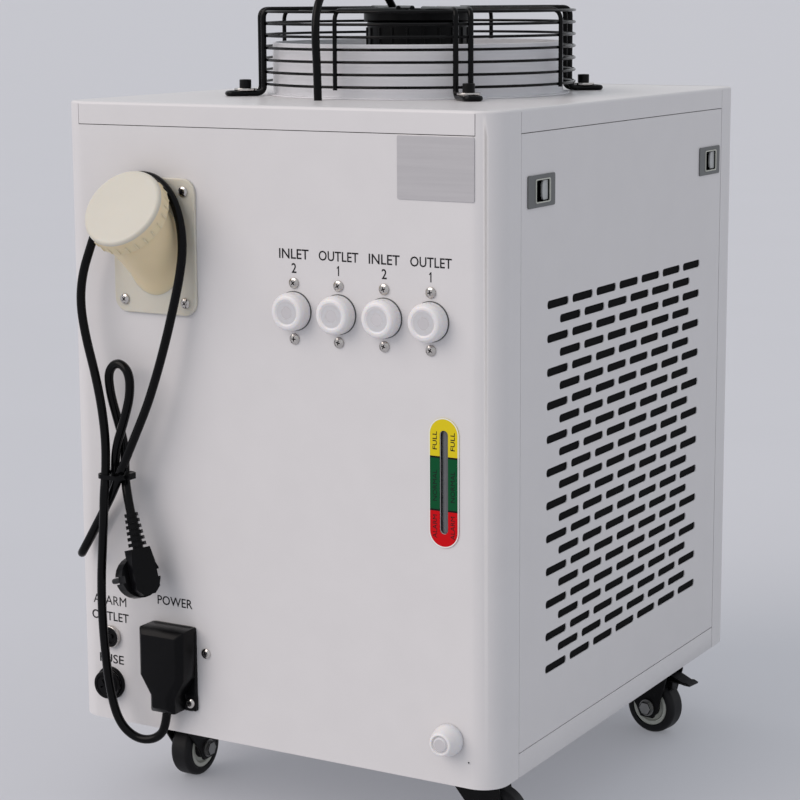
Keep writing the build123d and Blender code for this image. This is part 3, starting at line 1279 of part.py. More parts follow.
def export(node, *shapes):
    solids = [solid for shape in shapes for solid in shape.solids()]
    whole = solids[0] if len(solids) == 1 else Compound(children=solids)
    export_step(whole, "parts/" + node + ".step")


def export_cabinet():
    export("base_pan", make_base_pan())
    export("rear_panel", make_rear_panel())
    export("front_panel", make_front_panel())
    export("top_cover", make_top_cover())
    export("panel_screws", *[make_screw(*place) for place in screw_places()])


def export_sides():
    """The right side panel and what it carries, and the same mirrored to the left."""
    rear, front = latch_places()
    right = {
        "side_panel": [make_side_panel()],
        "dust_filter": [make_filter()],
        "latch_bezels": [make_latch_bezel(rear), make_latch_bezel(front)],
        "rear_latch_lever": [make_latch_lever(rear)],
        "front_latch_lever": [make_latch_lever(front)],
    }
    for name, shapes in right.items():
        export(name + "_right", *shapes)
        export(name + "_left", *[mirror(shape, about=Plane.YZ) for shape in shapes])


def export_fan():
    export("fan_ring", make_fan_ring())
    export("fan_guard", make_fan_guard())
    export("guard_bolts", *[make_guard_bolt(angle) for angle in GUARD_LEG_ANGLES])
    export("fan_motor", make_fan_motor())
    export("fan_rotor", make_fan_rotor())
    export("fan_cable", make_route_tube(fan_cable_points(), FAN_CABLE_DIAMETER))


def export_rear_fittings():
    export("filler_neck", make_filler_neck())
    export("filler_cap", make_filler_cap())
    export("port_fittings", *[make_port_fitting(index) for index in range(PORT_COUNT)])
    for index in range(PORT_COUNT):
        export("port_cap_" + str(index + 1), make_port_cap(index))
    export("level_bezel", make_level_bezel())
    export("level_tube", make_level_tube())
    export("drain_fitting", make_drain_fitting())
    export("drain_cap", make_drain_cap())
    export("alarm_socket", make_alarm_socket())
    export("fuse_holder", make_fuse_holder())
    export("fuse_cap", make_fuse_cap())
    export("power_inlet", make_power_inlet())
    export("power_cover", make_power_cover())
    export("power_cord", make_route_tube(cord_points(), CORD_DIAMETER))
    export("mains_plug", make_mains_plug())
    export("cable_tie", make_cable_tie())


def export_casters():
    wheel = make_wheel()
    plate = make_caster_plate()
    forks = {braked: make_fork(braked) for braked in (False, True)}
    pedal = make_brake_pedal()
    plates = []
    for name, across, back, angle, braked in CASTERS:
        plates.append(place_caster(plate, across, back, 0))
        export("fork_" + name, *[place_caster(piece, across, back, angle) for piece in forks[braked]])
        export("wheel_" + name, place_caster(wheel, across, back, angle))
        if braked:
            export("brake_pedal_" + name, place_caster(pedal, across, back, angle))
    export("caster_plates", *plates)


def export_inside():
    export("water_tank", make_water_tank())
    export("pump", make_pump())
    export("compressor", make_compressor())
    export("condenser", make_condenser())
    export("electrical_box", make_electrical_box())
    export("temperature_controller", make_controller())


os.makedirs("parts", exist_ok=True)
export_cabinet()
export_sides()
export_fan()
export_rear_fittings()
export_casters()
export_inside()
report_route("power cord", cord_points(), CORD_DIAMETER)
report_route("fan cable", fan_cable_points(), FAN_CABLE_DIAMETER)
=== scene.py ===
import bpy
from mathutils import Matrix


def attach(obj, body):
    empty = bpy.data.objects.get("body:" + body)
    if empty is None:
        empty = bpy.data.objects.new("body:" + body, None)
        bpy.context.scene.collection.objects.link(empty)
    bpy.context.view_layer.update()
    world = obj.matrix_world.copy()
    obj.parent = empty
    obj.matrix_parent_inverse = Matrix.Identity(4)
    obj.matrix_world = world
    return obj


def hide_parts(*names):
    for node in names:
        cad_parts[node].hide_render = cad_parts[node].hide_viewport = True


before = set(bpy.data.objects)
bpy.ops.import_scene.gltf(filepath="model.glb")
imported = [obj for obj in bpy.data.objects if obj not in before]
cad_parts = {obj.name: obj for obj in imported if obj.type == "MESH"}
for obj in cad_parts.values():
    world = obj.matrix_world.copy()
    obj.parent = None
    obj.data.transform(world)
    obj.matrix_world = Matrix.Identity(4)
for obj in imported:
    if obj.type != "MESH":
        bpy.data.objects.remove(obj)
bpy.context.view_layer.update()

from math import acos, cos, pi, radians, sin, sqrt

import bmesh
import bpy
from mathutils import Matrix, Vector

# Cabinet, in millimetres; across and up start at the rear face's lower left corner

MM = 0.001
WIDTH = 400.0
DEPTH = 475.0
HEIGHT = 518.0
FLOOR_GAP = 72.0
SHEET = 1.2
GAP = 0.6
CORNER = 22.0
WRAP = 39.0
RETURN = 11.0
COVER_DROP = 18.0
BASE_LIP = 19.4

# Places on the end panels, as across and up, and sizes that more than one piece follows

PORT_UP = 360.4
PORTS = [223.8 + 40.35 * index for index in range(4)]
DRAIN = (360.0, 37.0)
GAUGE = (355.8, 238.0)
GAUGE_SLOT_UP = 238.4
ALARM = (37.5, 72.5)
FUSE = (36.0, 32.0)
POWER = (102.5, 57.0)
POWER_OPENING_UP = 68.0
EARTH_SCREW = (133.8, 71.6)
FILLER_PLATE = (93.0, 404.5)
FILLER_AXIS = (93.0, 407.0)
FILLER_FOOT = (93.0, 400.5)
FILLER_BORE = 21.0
FILLER_SHEET = 3.0
GAUGE_SLOT = (80.0, 7.1)
CONTROLLER_UP = 440.0


# Frames: each maps a piece's own millimetres to the shared frame in metres

def basis(origin, x, y, z):
    """Matrix with these axes at an origin in millimetres of the shared frame."""
    rows = [(x[i] * MM, y[i] * MM, z[i] * MM, origin[i] * MM) for i in range(3)]
    return Matrix([*rows, (0, 0, 0, 1)])


def rear(across, up, out=0.0):
    origin = (across - WIDTH / 2, -DEPTH / 2 - out, up + FLOOR_GAP)
    return basis(origin, (1, 0, 0), (0, 0, 1), (0, -1, 0))


def side(along, up, out, hand):
    """On the right side face, or on the left one mirrored; x runs along the side, away from the rear."""
    origin = (hand * (WIDTH / 2 + out), along - DEPTH / 2, up + FLOOR_GAP)
    return basis(origin, (0, 1, 0), (0, 0, 1), (hand, 0, 0))


def level(x, y, up):
    """Horizontal, from the cabinet's centre."""
    return basis((x, y, up + FLOOR_GAP), (1, 0, 0), (0, 1, 0), (0, 0, 1))


CENTRE = level(0, 0, 0)


def raised(place, distance):
    return place @ Matrix.Translation((0, 0, distance))


def spun(place, turn):
    return place @ Matrix.Rotation(turn, 4, "Z")


# Materials

surfaces = {}
MILKY_RADIUS = (1.0, 0.75, 0.5)
MILKY_SCALE = 0.006
BUMP_DEPTH = 0.0003


def linear(colour):
    """A display colour, 0 to 255, as scene values."""
    return [((c / 255 + 0.055) / 1.055) ** 2.4 if c > 10 else c / 255 / 12.92 for c in colour]


def noise(tree, coordinates, scale, detail):
    made = tree.nodes.new("ShaderNodeTexNoise")
    made.inputs["Scale"].default_value = scale
    made.inputs["Detail"].default_value = detail
    tree.links.new(coordinates, made.inputs["Vector"])
    return made.outputs["Fac"]


def material(
    name, colour, roughness, metallic=0.0, spread=0.06, grain=30.0, relief=0.0, fine=900.0,
    stretch=(1, 1, 1), clear=0.0, shine=0.5, milky=0.0,
):
    """Faint mottle in colour and gloss and a fine relief, all from the piece's own coordinates."""
    made = bpy.data.materials.new(name)
    made.use_nodes = True
    tree = made.node_tree
    shader = tree.nodes["Principled BSDF"]
    constants = {
        "Metallic": metallic,
        "Specular IOR Level": shine,
        "Transmission Weight": clear,
        "Subsurface Weight": milky,
        "Subsurface Radius": MILKY_RADIUS,
        "Subsurface Scale": MILKY_SCALE,
    }
    for socket, value in constants.items():
        shader.inputs[socket].default_value = value
    place = tree.nodes.new("ShaderNodeTexCoord")
    scale = tree.nodes.new("ShaderNodeMapping")
    scale.inputs["Scale"].default_value = stretch
    tree.links.new(place.outputs["Object"], scale.inputs["Vector"])
    clouds = noise(tree, scale.outputs["Vector"], grain, 4.0)
    tint = tree.nodes.new("ShaderNodeValToRGB")
    base = linear(colour)
    ends = ((0.3, 1 - spread), (0.7, 1 + spread))
    for element, (position, factor) in zip(tint.color_ramp.elements, ends):
        element.color = (*[min(1.0, channel * factor) for channel in base], 1)
        element.position = position
    tree.links.new(clouds, tint.inputs["Fac"])
    tree.links.new(tint.outputs["Color"], shader.inputs["Base Color"])
    gloss = tree.nodes.new("ShaderNodeMapRange")
    gloss.inputs["To Min"].default_value = roughness * 0.85
    gloss.inputs["To Max"].default_value = min(1.0, roughness * 1.15)
    tree.links.new(clouds, gloss.inputs["Value"])
    tree.links.new(gloss.outputs["Result"], shader.inputs["Roughness"])
    if relief:
        bump = tree.nodes.new("ShaderNodeBump")
        bump.inputs["Strength"].default_value = relief
        bump.inputs["Distance"].default_value = BUMP_DEPTH
        tree.links.new(noise(tree, scale.outputs["Vector"], fine, 3.0), bump.inputs["Height"])
        tree.links.new(bump.outputs["Normal"], shader.inputs["Normal"])
    surfaces[name] = made
    return made


def banded(name, bands, last, roughness):
    """Film coloured by height: bands are (lower edge, colour) from the lowest, up to last."""
    tree = material(name, (255, 255, 255), roughness, spread=0.02, shine=0.15).node_tree
    place = tree.nodes.new("ShaderNodeTexCoord")
    parts = tree.nodes.new("ShaderNodeSeparateXYZ")
    tree.links.new(place.outputs["Object"], parts.inputs["Vector"])
    low = bands[0][0]
    span = tree.nodes.new("ShaderNodeMapRange")
    span.inputs["From Min"].default_value = (low + FLOOR_GAP) * MM
    span.inputs["From Max"].default_value = (last + FLOOR_GAP) * MM
    tree.links.new(parts.outputs["Z"], span.inputs["Value"])
    ramp = tree.nodes.new("ShaderNodeValToRGB")
    ramp.color_ramp.interpolation = "CONSTANT"
    while len(ramp.color_ramp.elements) < len(bands):
        ramp.color_ramp.elements.new(1.0)
    for element, (height, colour) in zip(ramp.color_ramp.elements, bands):
        element.position = (height - low) / (last - low)
        element.color = (*linear(colour), 1)
    tree.links.new(span.outputs["Result"], ramp.inputs["Fac"])
    mix = tree.nodes.new("ShaderNodeMix")
    mix.data_type = "RGBA"
    mix.blend_type = "MULTIPLY"
    mix.inputs["Factor"].default_value = 1.0
    base = tree.nodes["Principled BSDF"].inputs["Base Color"]
    tint = base.links[0].from_socket
    tree.links.new(ramp.outputs["Color"], mix.inputs["A"])
    tree.links.new(tint, mix.inputs["B"])
    tree.links.new(mix.outputs["Result"], base)


# Paint
material("painted_sheet", (213, 211, 212), 0.36, spread=0.012, relief=0.1, fine=700, shine=0.4)
material("painted_ring", (226, 226, 230), 0.42, spread=0.02, relief=0.08)
material("blade_paint", (16, 16, 18), 0.4, relief=0.1, shine=0.25)
material("motor_paint", (8, 8, 9), 0.34, relief=0.15, shine=0.14)
material("print_black", (16, 16, 20), 0.55, spread=0.1, shine=0.2)
material("print_white", (226, 228, 226), 0.4, spread=0.02)
# Metal
material("brass_fitting", (190, 160, 100), 0.3, metallic=1.0, relief=0.1)
material("cast_black", (24, 24, 26), 0.5, relief=0.4, fine=500, shine=0.4)
material("dark_steel", (9, 9, 10), 0.36, relief=0.2, fine=600, shine=0.16)
material("fin_aluminium", (190, 190, 194), 0.45, metallic=1.0, stretch=(1, 1, 0.05), relief=0.2)
material("guard_wire", (5, 5, 6), 0.18, relief=0.05, shine=0.14)
material("plated_steel", (198, 194, 190), 0.16, metallic=1.0, spread=0.12, grain=300, relief=0.15)
material("zinc_plated", (150, 150, 148), 0.3, metallic=1.0, spread=0.08, grain=120, relief=0.1)
BRUSHED = (0.2, 1, 8)
material("silver_plate", (190, 188, 190), 0.36, 0.7, spread=0.03, grain=60, stretch=BRUSHED, relief=0.08)
# Plastic, rubber and foam
material("black_plastic", (8, 8, 10), 0.3, relief=0.15, fine=1200, shine=0.12)
material("cable_rubber", (5, 5, 6), 0.18, relief=0.1, fine=1500, shine=0.14)
material("clear_tube", (112, 114, 117), 0.12, clear=0.3, spread=0.01)
# Warmer copy of cream_plastic: painted warm shade on the filler's neck wall and cap skirt
material("cream_warm_shade", (232, 214, 176), 0.36, spread=0.02, relief=0.06, fine=400, milky=0.35)
material("cream_plastic", (203, 199, 187), 0.32, spread=0.015, relief=0.06, fine=400, shine=0.45, milky=0.3)
material("filter_foam", (14, 14, 15), 0.95, spread=0.4, grain=700, relief=1.0, fine=1400, shine=0.1)
material("grey_plastic", (96, 98, 98), 0.42, relief=0.12, fine=1000, shine=0.4)
material("pale_plastic", (178, 180, 180), 0.4, relief=0.1)
material("rim_grey", (190, 192, 182), 0.45, relief=0.15, fine=800)
# Darker grey for the caps' faces: painted shade in their grooves and recesses
material("cap_shade_grey", (196, 194, 197), 0.4, relief=0.1)
material("tank_plastic", (222, 222, 216), 0.45, relief=0.1)
material("tyre_rubber", (16, 16, 18), 0.5, relief=0.3, fine=900, shine=0.25)
material("white_plastic", (226, 224, 225), 0.3, spread=0.02, relief=0.06, fine=500, milky=0.3)
# Level gauge: red, green and yellow with a thin line between them
red, green, yellow, line = (196, 0, 12), (0, 78, 42), (216, 196, 28), (14, 14, 14)
zones = [(180.0, red), (216.0, line), (217.0, green), (256.8, line), (257.8, yellow)]
banded("gauge_film", zones, 357.8, 0.32)

NODES = {
    "painted_sheet": "base_pan rear_panel front_panel top_cover side_panel_right side_panel_left",
    "painted_ring": "fan_ring",
    "black_plastic": (
        "alarm_socket cable_tie fuse_holder fuse_cap mains_plug power_cover power_inlet"
        " temperature_controller"
    ),
    "blade_paint": "fan_rotor",
    "brass_fitting": "port_fittings drain_fitting",
    "cable_rubber": "power_cord fan_cable",
    "cast_black": "compressor pump",
    "clear_tube": "level_tube",
    "cream_plastic": "filler_neck filler_cap",
    "dark_steel": (
        "caster_plates fork_rear_left fork_rear_right fork_front_left fork_front_right"
        " brake_pedal_front_left brake_pedal_front_right"
    ),
    "filter_foam": "dust_filter_right dust_filter_left",
    "fin_aluminium": "condenser",
    "gauge_film": "level_bezel",
    "grey_plastic": "latch_bezels_right latch_bezels_left",
    "guard_wire": "fan_guard",
    "motor_paint": "fan_motor",
    "pale_plastic": (
        "rear_latch_lever_right front_latch_lever_right rear_latch_lever_left front_latch_lever_left"
        " electrical_box"
    ),
    "plated_steel": "panel_screws guard_bolts",
    "tank_plastic": "water_tank",
    "tyre_rubber": "wheel_rear_left wheel_rear_right wheel_front_left wheel_front_right",
    "white_plastic": "port_cap_1 port_cap_2 port_cap_3 port_cap_4 drain_cap",
}
SOFT_EDGES = {
    0.3: "base_pan power_inlet",
    0.4: "caster_plates",
    0.5: "temperature_controller fork_rear_left fork_rear_right fork_front_left fork_front_right",
    0.8: "electrical_box",
    1.0: "pump water_tank",
    1.1: "power_cover",
    2.0: "compressor",
}
SHARP = 35


def smooth(mesh, angle):
    mesh.shade_smooth()
    mesh.set_sharp_from_angle(angle=radians(angle))


def soften(obj, width):
    """Small round on the sharp edges of a piece, with smooth shading between them."""
    weld = obj.modifiers.new("weld", "WELD")
    weld.merge_threshold = 0.00001
    bevel = obj.modifiers.new("bevel", "BEVEL")
    bevel.width = width * MM
    bevel.segments = 2
    bevel.limit_method = "ANGLE"
    bevel.angle_limit = radians(SHARP)
    bevel.harden_normals = True
    smooth(obj.data, SHARP)


for surface, nodes in NODES.items():
    for node in nodes.split():
        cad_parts[node].data.materials.clear()
        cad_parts[node].data.materials.append(surfaces[surface])
for width, nodes in SOFT_EDGES.items():
    for node in nodes.split():
        soften(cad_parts[node], width)


# Shapes: each gives points and faces in millimetres

def ring_of(radius, steps):
    turns = [2 * pi * index / steps for index in range(steps)]
    return [(radius * cos(turn), radius * sin(turn)) for turn in turns]


def rounded_outline(width, height, radius, steps):
    """Points and outward normals round a rounded rectangle."""
    result = []
    for corner, (sx, sy) in enumerate(((1, 1), (-1, 1), (-1, -1), (1, -1))):
        x = sx * (width / 2 - radius)
        y = sy * (height / 2 - radius)
        for step in range(steps + 1):
            turn = pi / 2 * (corner + step / steps)
            result.append((x + radius * cos(turn), y + radius * sin(turn), cos(turn), sin(turn)))
    return result


def rounded(width, height, radius, steps):
    return [(x, y) for x, y, nx, ny in rounded_outline(width, height, radius, steps)]


def stadium(length, width):
    """Upright slot with half-round ends."""
    return rounded(width, length, width / 2 - 0.001, 12)


def shifted(loop, x, y):
    return [(a + x, b + y) for a, b in loop]


def taken(data, kind):
    """Points and faces of a curve or text, which is then removed."""
    holder = bpy.data.objects.new("holder", data)
    mesh = bpy.data.meshes.new_from_object(holder)
    points = [tuple(vertex.co) for vertex in mesh.vertices]
    faces = [tuple(face.vertices) for face in mesh.polygons]
    bpy.data.objects.remove(holder)
    kind.remove(data)
    bpy.data.meshes.remove(mesh)
    return points, faces


def plate(outline, holes, thickness, soft=0.0):
    """Flat sheet with holes, its back on z = 0, with its edges rounded by soft."""
    curve = bpy.data.curves.new("plate", "CURVE")
    curve.dimensions = "2D"
    curve.fill_mode = "BOTH"
    curve.extrude = thickness / 2 - soft
    curve.bevel_depth = soft
    curve.bevel_resolution = 1
    curve.offset = -soft
    for loop in (outline, *holes):
        spline = curve.splines.new("POLY")
        spline.points.add(len(loop) - 1)
        for point, (x, y) in zip(spline.points, loop):
            point.co = (x, y, 0, 1)
        spline.use_cyclic_u = True
    points, faces = taken(curve, bpy.data.curves)
    return [(x, y, z + thickness / 2) for x, y, z in points], faces


def turned(profile, steps, closed=False):
    """Solid of revolution about z from (radius, height) points."""
    points, rings = [], []
    for radius, height in profile:
        first = len(points)
        if radius == 0:
            points.append((0, 0, height))
            rings.append([first] * steps)
        else:
            points += [(x, y, height) for x, y in ring_of(radius, steps)]
            rings.append(list(range(first, first + steps)))
    pairs = list(zip(rings, rings[1:]))
    if closed:
        pairs.append((rings[-1], rings[0]))
    faces = []
    for low, high in pairs:
        for index in range(steps):
            after = (index + 1) % steps
            corners = dict.fromkeys((low[index], low[after], high[after], high[index]))
            faces.append(tuple(corners))
    return points, faces


def eased(profile, radius, steps):
    """The same open profile with its inner corners rounded, over less than half of a side."""
    points = [Vector(point) for point in profile]
    result = [points[0]]
    for before, here, after in zip(points, points[1:], points[2:]):
        a, b = before - here, after - here
        reach = min(radius, a.length * 0.45, b.length * 0.45)
        start = here + a.normalized() * reach
        end = here + b.normalized() * reach
        for step in range(steps + 1):
            t = step / steps
            result.append(start * (1 - t) ** 2 + here * 2 * t * (1 - t) + end * t ** 2)
    result.append(points[-1])
    return [tuple(point) for point in result]


def tube(rings, sides, closed=False):
    """Faces between rings of points that follow each other."""
    faces = []
    for index in range(rings if closed else rings - 1):
        low = index * sides
        high = (index + 1) % rings * sides
        for corner in range(sides):
            after = (corner + 1) % sides
            faces.append((low + corner, low + after, high + after, high + corner))
    return faces


def capped(rings, sides):
    """The same with a face over either end."""
    last = (rings - 1) * sides
    return tube(rings, sides) + [tuple(range(sides)), tuple(range(last, last + sides))]


def wire(points, radius, sides, closed=False):
    """Round wire along points."""
    points = [Vector(point) for point in points]
    count = len(points)
    vertices = []
    normal = Vector((0.31, 0.22, 0.93))
    for index, point in enumerate(points):
        before = points[index - 1] if closed or index else point
        after = points[(index + 1) % count] if closed or index < count - 1 else point
        tangent = (after - before).normalized()
        normal = (normal - tangent * normal.dot(tangent)).normalized()
        across = tangent.cross(normal)
        vertices += [tuple(point + normal * x + across * y) for x, y in ring_of(radius, sides)]
    return vertices, tube(count, sides, True) if closed else capped(count, sides)


def edging(outline, profile):
    """Closed band round an outline: its profile is (inset, height) points."""
    points = []
    for x, y, nx, ny in outline:
        points += [(x - nx * inset, y - ny * inset, up) for inset, up in profile]
    return points, tube(len(outline), len(profile), closed=True)


def folded(path, thickness, low, high):
    """Upright sheet along a path of points and outward normals."""
    points = []
    for x, y, nx, ny in path:
        inner = (x - nx * thickness, y - ny * thickness)
        points += [(x, y, low), (x, y, high), (*inner, high), (*inner, low)]
    return points, capped(len(path), 4)


def figure_one(height):
    """The figure 1 with its flag."""
    h = height / 2
    left, tip, right = -0.5, -0.15, 0.45
    flag, stroke, notch = 1.5, 0.9, 1.7
    outline = [(right, -h), (right, h), (tip, h), (-flag, h - flag), (-flag, h - flag - stroke)]
    outline += [(left, h - notch), (left, -h)]
    return [(x, y, 0.0) for x, y in outline], [tuple(range(len(outline)))]


def word(text, width, height):
    """Letters in a thin layer, centred, this wide and high."""
    if text == "1":
        return figure_one(height)
    curve = bpy.data.curves.new("word", "FONT")
    curve.body = text
    curve.resolution_u = 3
    # A bolder M fills its own notch, so words that have one stay plain
    curve.offset = 0.0 if "M" in text else 0.01
    points, faces = taken(curve, bpy.data.curves)
    xs = [x for x, y, z in points]
    ys = [y for x, y, z in points]
    scale_x = width / (max(xs) - min(xs))
    scale_y = height / (max(ys) - min(ys))
    middle = ((max(xs) + min(xs)) / 2, (max(ys) + min(ys)) / 2)
    return [((x - middle[0]) * scale_x, (y - middle[1]) * scale_y, 0.0) for x, y, z in points], faces


def drop_twins(mesh):
    """Joins points, removes faces that share all of theirs, and turns the rest outward."""
    work = bmesh.new()
    work.from_mesh(mesh)
    bmesh.ops.remove_doubles(work, verts=work.verts, dist=0.000002)
    corners = {}
    for face in work.faces:
        corners.setdefault(frozenset(vertex.index for vertex in face.verts), []).append(face)
    twins = [face for same in corners.values() if len(same) > 1 for face in same]
    bmesh.ops.delete(work, geom=twins, context="FACES_ONLY")
    bmesh.ops.recalc_face_normals(work, faces=work.faces)
    work.to_mesh(mesh)
    work.free()


def build(name, parts, looks, body="cabinet", angle=SHARP, stands_for=(), slot=None, weld=True):
    """One piece from (shape, frame matrix, look number) parts; a slot, its first look unless given, is worked
    out but not used.
    """
    points, faces, numbers = [], [], []
    for (shape_points, shape_faces), matrix, number in parts:
        first = len(points)
        points += [matrix @ Vector(point) for point in shape_points]
        faces += [tuple(first + corner for corner in face) for face in shape_faces]
        numbers += [number] * len(shape_faces)
    mesh = bpy.data.meshes.new(name)
    mesh.from_pydata(points, [], faces)
    mesh.polygons.foreach_set("material_index", numbers)
    if weld:
        drop_twins(mesh)
    for look in looks:
        mesh.materials.append(surfaces[look])
    obj = bpy.data.objects.new(name, mesh)
    bpy.context.scene.collection.objects.link(obj)
    if angle:
        smooth(mesh, angle)
        level_faces = obj.modifiers.new("level_faces", "WEIGHTED_NORMAL")
        level_faces.keep_sharp = True
    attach(obj, body)
    if stands_for:
        slot = slot or looks[0]
        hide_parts(*stands_for)


# Camera, fitted to the photograph from the cabinet's corners; its place is in metres

YAW = radians(29.98)
PITCH = radians(9.68)
ROLL = radians(-0.30)
CAMERA_PLACE = (0.9386, -1.6603, 0.6753)
LENS = 99.1
LENS_SHIFT = -0.04


def aim_camera():
    forward = Vector((-sin(YAW) * cos(PITCH), cos(YAW) * cos(PITCH), -sin(PITCH)))
    right = Vector((cos(YAW), sin(YAW), 0))
    up = right.cross(forward)
    turned_right = right * cos(ROLL) + up * sin(ROLL)
    turned_up = up * cos(ROLL) - right * sin(ROLL)
    data = bpy.data.cameras.new("camera")
    data.lens = LENS
    data.sensor_width = 36.0
    data.shift_y = LENS_SHIFT
    data.dof.use_dof = False
    camera = bpy.data.objects.new("camera", data)
    columns = (turned_right, turned_up, -forward, Vector(CAMERA_PLACE))
    camera.matrix_world = Matrix([[column[i] for column in columns] for i in range(3)] + [[0, 0, 0, 1]])
    bpy.context.scene.collection.objects.link(camera)
    bpy.context.scene.camera = camera


aim_camera()


# Cords

# Across, out and up from the rear face's lower left corner, from the cover to the plug
POWER_CORD = (
    (102.5, 12.0, 33.0),
    (101.8, 12.5, 7.5),
    (90.5, 14.5, -5.0),
    (73.0, 17.3, -6.0),
    (58.0, 20.5, 7.0),
    (52.0, 23.5, 36.0),
    (51.0, 27.0, 70.0),
    (51.5, 30.0, 102.0),
    (54.0, 33.0, 132.0),
    (57.5, 34.5, 161.0),
    (59.5, 34.5, 186.0),
    (58.8, 32.5, 204.0),
    (57.8, 28.0, 222.0),
    (57.0, 26.0, 246.0),
    (53.5, 25.0, 272.0),
    (46.8, 24.0, 300.0),
    (37.5, 23.0, 329.0),
    (32.0, 22.0, 356.0),
    (33.7, 20.5, 380.0),
    (42.0, 19.0, 403.4),
    (50.5, 16.0, 428.0),
    (60.0, 12.0, 449.5),
    (75.5, 6.8, 460.5),
    (96.0, 6.8, 461.0),
    (115.5, 11.5, 450.0),
    (125.5, 12.5, 430.3),
    (129.0, 13.5, 406.7),
    (126.5, 15.5, 382.8),
    (120.8, 17.5, 357.0),
    (114.4, 19.5, 331.2),
    (106.9, 21.5, 305.3),
    (98.4, 23.5, 279.8),
    (88.6, 26.0, 256.5),
    (79.0, 27.5, 235.5),
    (69.8, 26.5, 217.5),
    (59.5, 23.5, 200.5),
    (47.5, 22.5, 182.0),
    (36.5, 22.5, 164.0),
    (26.5, 22.5, 148.0),
    (20.6, 14.7, 145.9),
    (20.2, 6.9, 152.1),
    (30.7, 7.3, 168.0),
    (41.5, 9.0, 184.5),
    (52.0, 13.5, 201.0),
    (60.3, 19.2, 218.0),
    (64.3, 22.6, 240.0),
    (73.5, 23.2, 262.5),
    (80.5, 22.8, 285.0),
    (79.5, 22.0, 304.0),
    (67.5, 20.5, 311.5),
    (56.0, 19.0, 303.0),
    (55.8, 16.8, 284.0),
    (60.5, 14.2, 262.5),
    (66.5, 13.3, 241.0),
    (68.3, 16.3, 218.0),
    (74.2, 22.5, 204.0),
    (79.0, 24.0, 188.0),
)
# Across and back from the cabinet's centre and up from its base, from the motor to the cover
FAN_CABLE = (
    (-9.0, -27.0, 591.3),
    (-9.8, -38.0, 604.5),
    (-11.3, -58.0, 610.0),
    (-12.0, -84.0, 612.0),
    (-12.0, -112.0, 611.0),
    (-11.0, -135.0, 605.0),
    (-9.0, -149.0, 590.0),
    (-7.5, -153.0, 568.0),
    (-7.1, -151.2, 543.0),
    (-7.0, -150.5, 508.0),
)


def lay_cord(name, points, diameter, node):
    """Cord whose line follows these points of the shared frame, in metres."""
    curve = bpy.data.curves.new(name, "CURVE")
    curve.dimensions = "3D"
    curve.bevel_depth = diameter / 2
    curve.bevel_resolution = 4
    curve.resolution_u = 8
    curve.use_fill_caps = True
    spline = curve.splines.new("NURBS")
    spline.points.add(len(points) - 1)
    for point, place in zip(spline.points, points):
        point.co = (*place, 1)
    spline.order_u = 3
    spline.use_endpoint_u = True
    curve.materials.append(surfaces["cable_rubber"])
    obj = bpy.data.objects.new(name, curve)
    bpy.context.scene.collection.objects.link(obj)
    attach(obj, "cabinet")
    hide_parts(node)
    return obj


power_points = [tuple(rear(across, up, out).translation) for across, out, up in POWER_CORD]
power_cord = lay_cord("mains_cord", power_points, 0.0074, "power_cord")
fan_points = [tuple(level(x, y, up).translation) for x, y, up in FAN_CABLE]
fan_cable = lay_cord("fan_cable_line", fan_points, 0.0066, "fan_cable")


# End panels and top cover

POST = 18.0
POST_TOP = HEIGHT - SHEET - GAP
NOTCH_LOW = HEIGHT - COVER_DROP - GAP
NOTCH_REACH = WIDTH / 2 - POST
FLAT_REACH = WIDTH / 2 - CORNER - 2.0
EDGE = 2.2
FAN_BORE = 122.0


def corner_path(hand):
    """From the wrapped edge round a rear corner to the flat face, and how many of its points the post has."""
    centre = (WIDTH / 2 - CORNER, CORNER - DEPTH / 2)
    notch = acos((NOTCH_REACH - centre[0]) / CORNER)
    turns = [notch * step / 12 for step in range(13)]
    post = len(turns) + 1
    turns += [notch + (pi / 2 - notch) * step / 4 for step in range(1, 5)]
    path = [(WIDTH / 2, WRAP - DEPTH / 2, 1.0, 0.0)]
    path += [(centre[0] + CORNER * cos(t), centre[1] - CORNER * sin(t), cos(t), -sin(t)) for t in turns]
    path.append((FLAT_REACH, -DEPTH / 2, 0.0, -1.0))
    return [(hand * x, y, hand * nx, ny) for x, y, nx, ny in path], post


def end_panel(name, node, turn, holes):
    """Wrapped sheet with tall corner posts beside the notch for the cover."""
    ground = spun(CENTRE, turn)
    outline = [(-FLAT_REACH, 0), (FLAT_REACH, 0), (FLAT_REACH, NOTCH_LOW), (-FLAT_REACH, NOTCH_LOW)]
    upright = Matrix(((1, 0, 0, 0), (0, 0, -1, SHEET - DEPTH / 2), (0, 1, 0, 0), (0, 0, 0, 1)))
    parts = [(plate(outline, holes, SHEET), ground @ upright, 0)]
    wrapped, inner = WRAP - DEPTH / 2, WIDTH / 2 - SHEET
    for hand in (-1, 1):
        path, post = corner_path(hand)
        flange = [(hand * inner, wrapped, 0, 1), (hand * (inner - RETURN), wrapped, 0, 1)]
        parts.append((folded(path, SHEET, 0.0, NOTCH_LOW), ground, 0))
        parts.append((folded(path[:post], SHEET, NOTCH_LOW, POST_TOP), ground, 0))
        parts.append((folded(flange, SHEET, BASE_LIP + GAP, NOTCH_LOW), ground, 0))
    build(name, parts, ["painted_sheet"], stands_for=[node])


def rear_holes():
    """Through the flat face, across from its middle and up."""
    loops = [(ring_of(12.2, 24), (across, PORT_UP)) for across in reversed(PORTS)]
    loops += [(ring_of(10.3, 24), DRAIN), (ring_of(7.8, 24), ALARM), (ring_of(8.8, 24), FUSE)]
    loops.append((stadium(*GAUGE_SLOT), (GAUGE[0], GAUGE_SLOT_UP)))
    loops.append((rounded(25.6, 34.6, 1.0, 2), (POWER[0], POWER_OPENING_UP)))
    loops.append(([(1.06 * x, 1.3 * y) for x, y in ring_of(FILLER_BORE, 32)], FILLER_AXIS))
    return [shifted(loop, across - WIDTH / 2, up) for loop, (across, up) in loops]


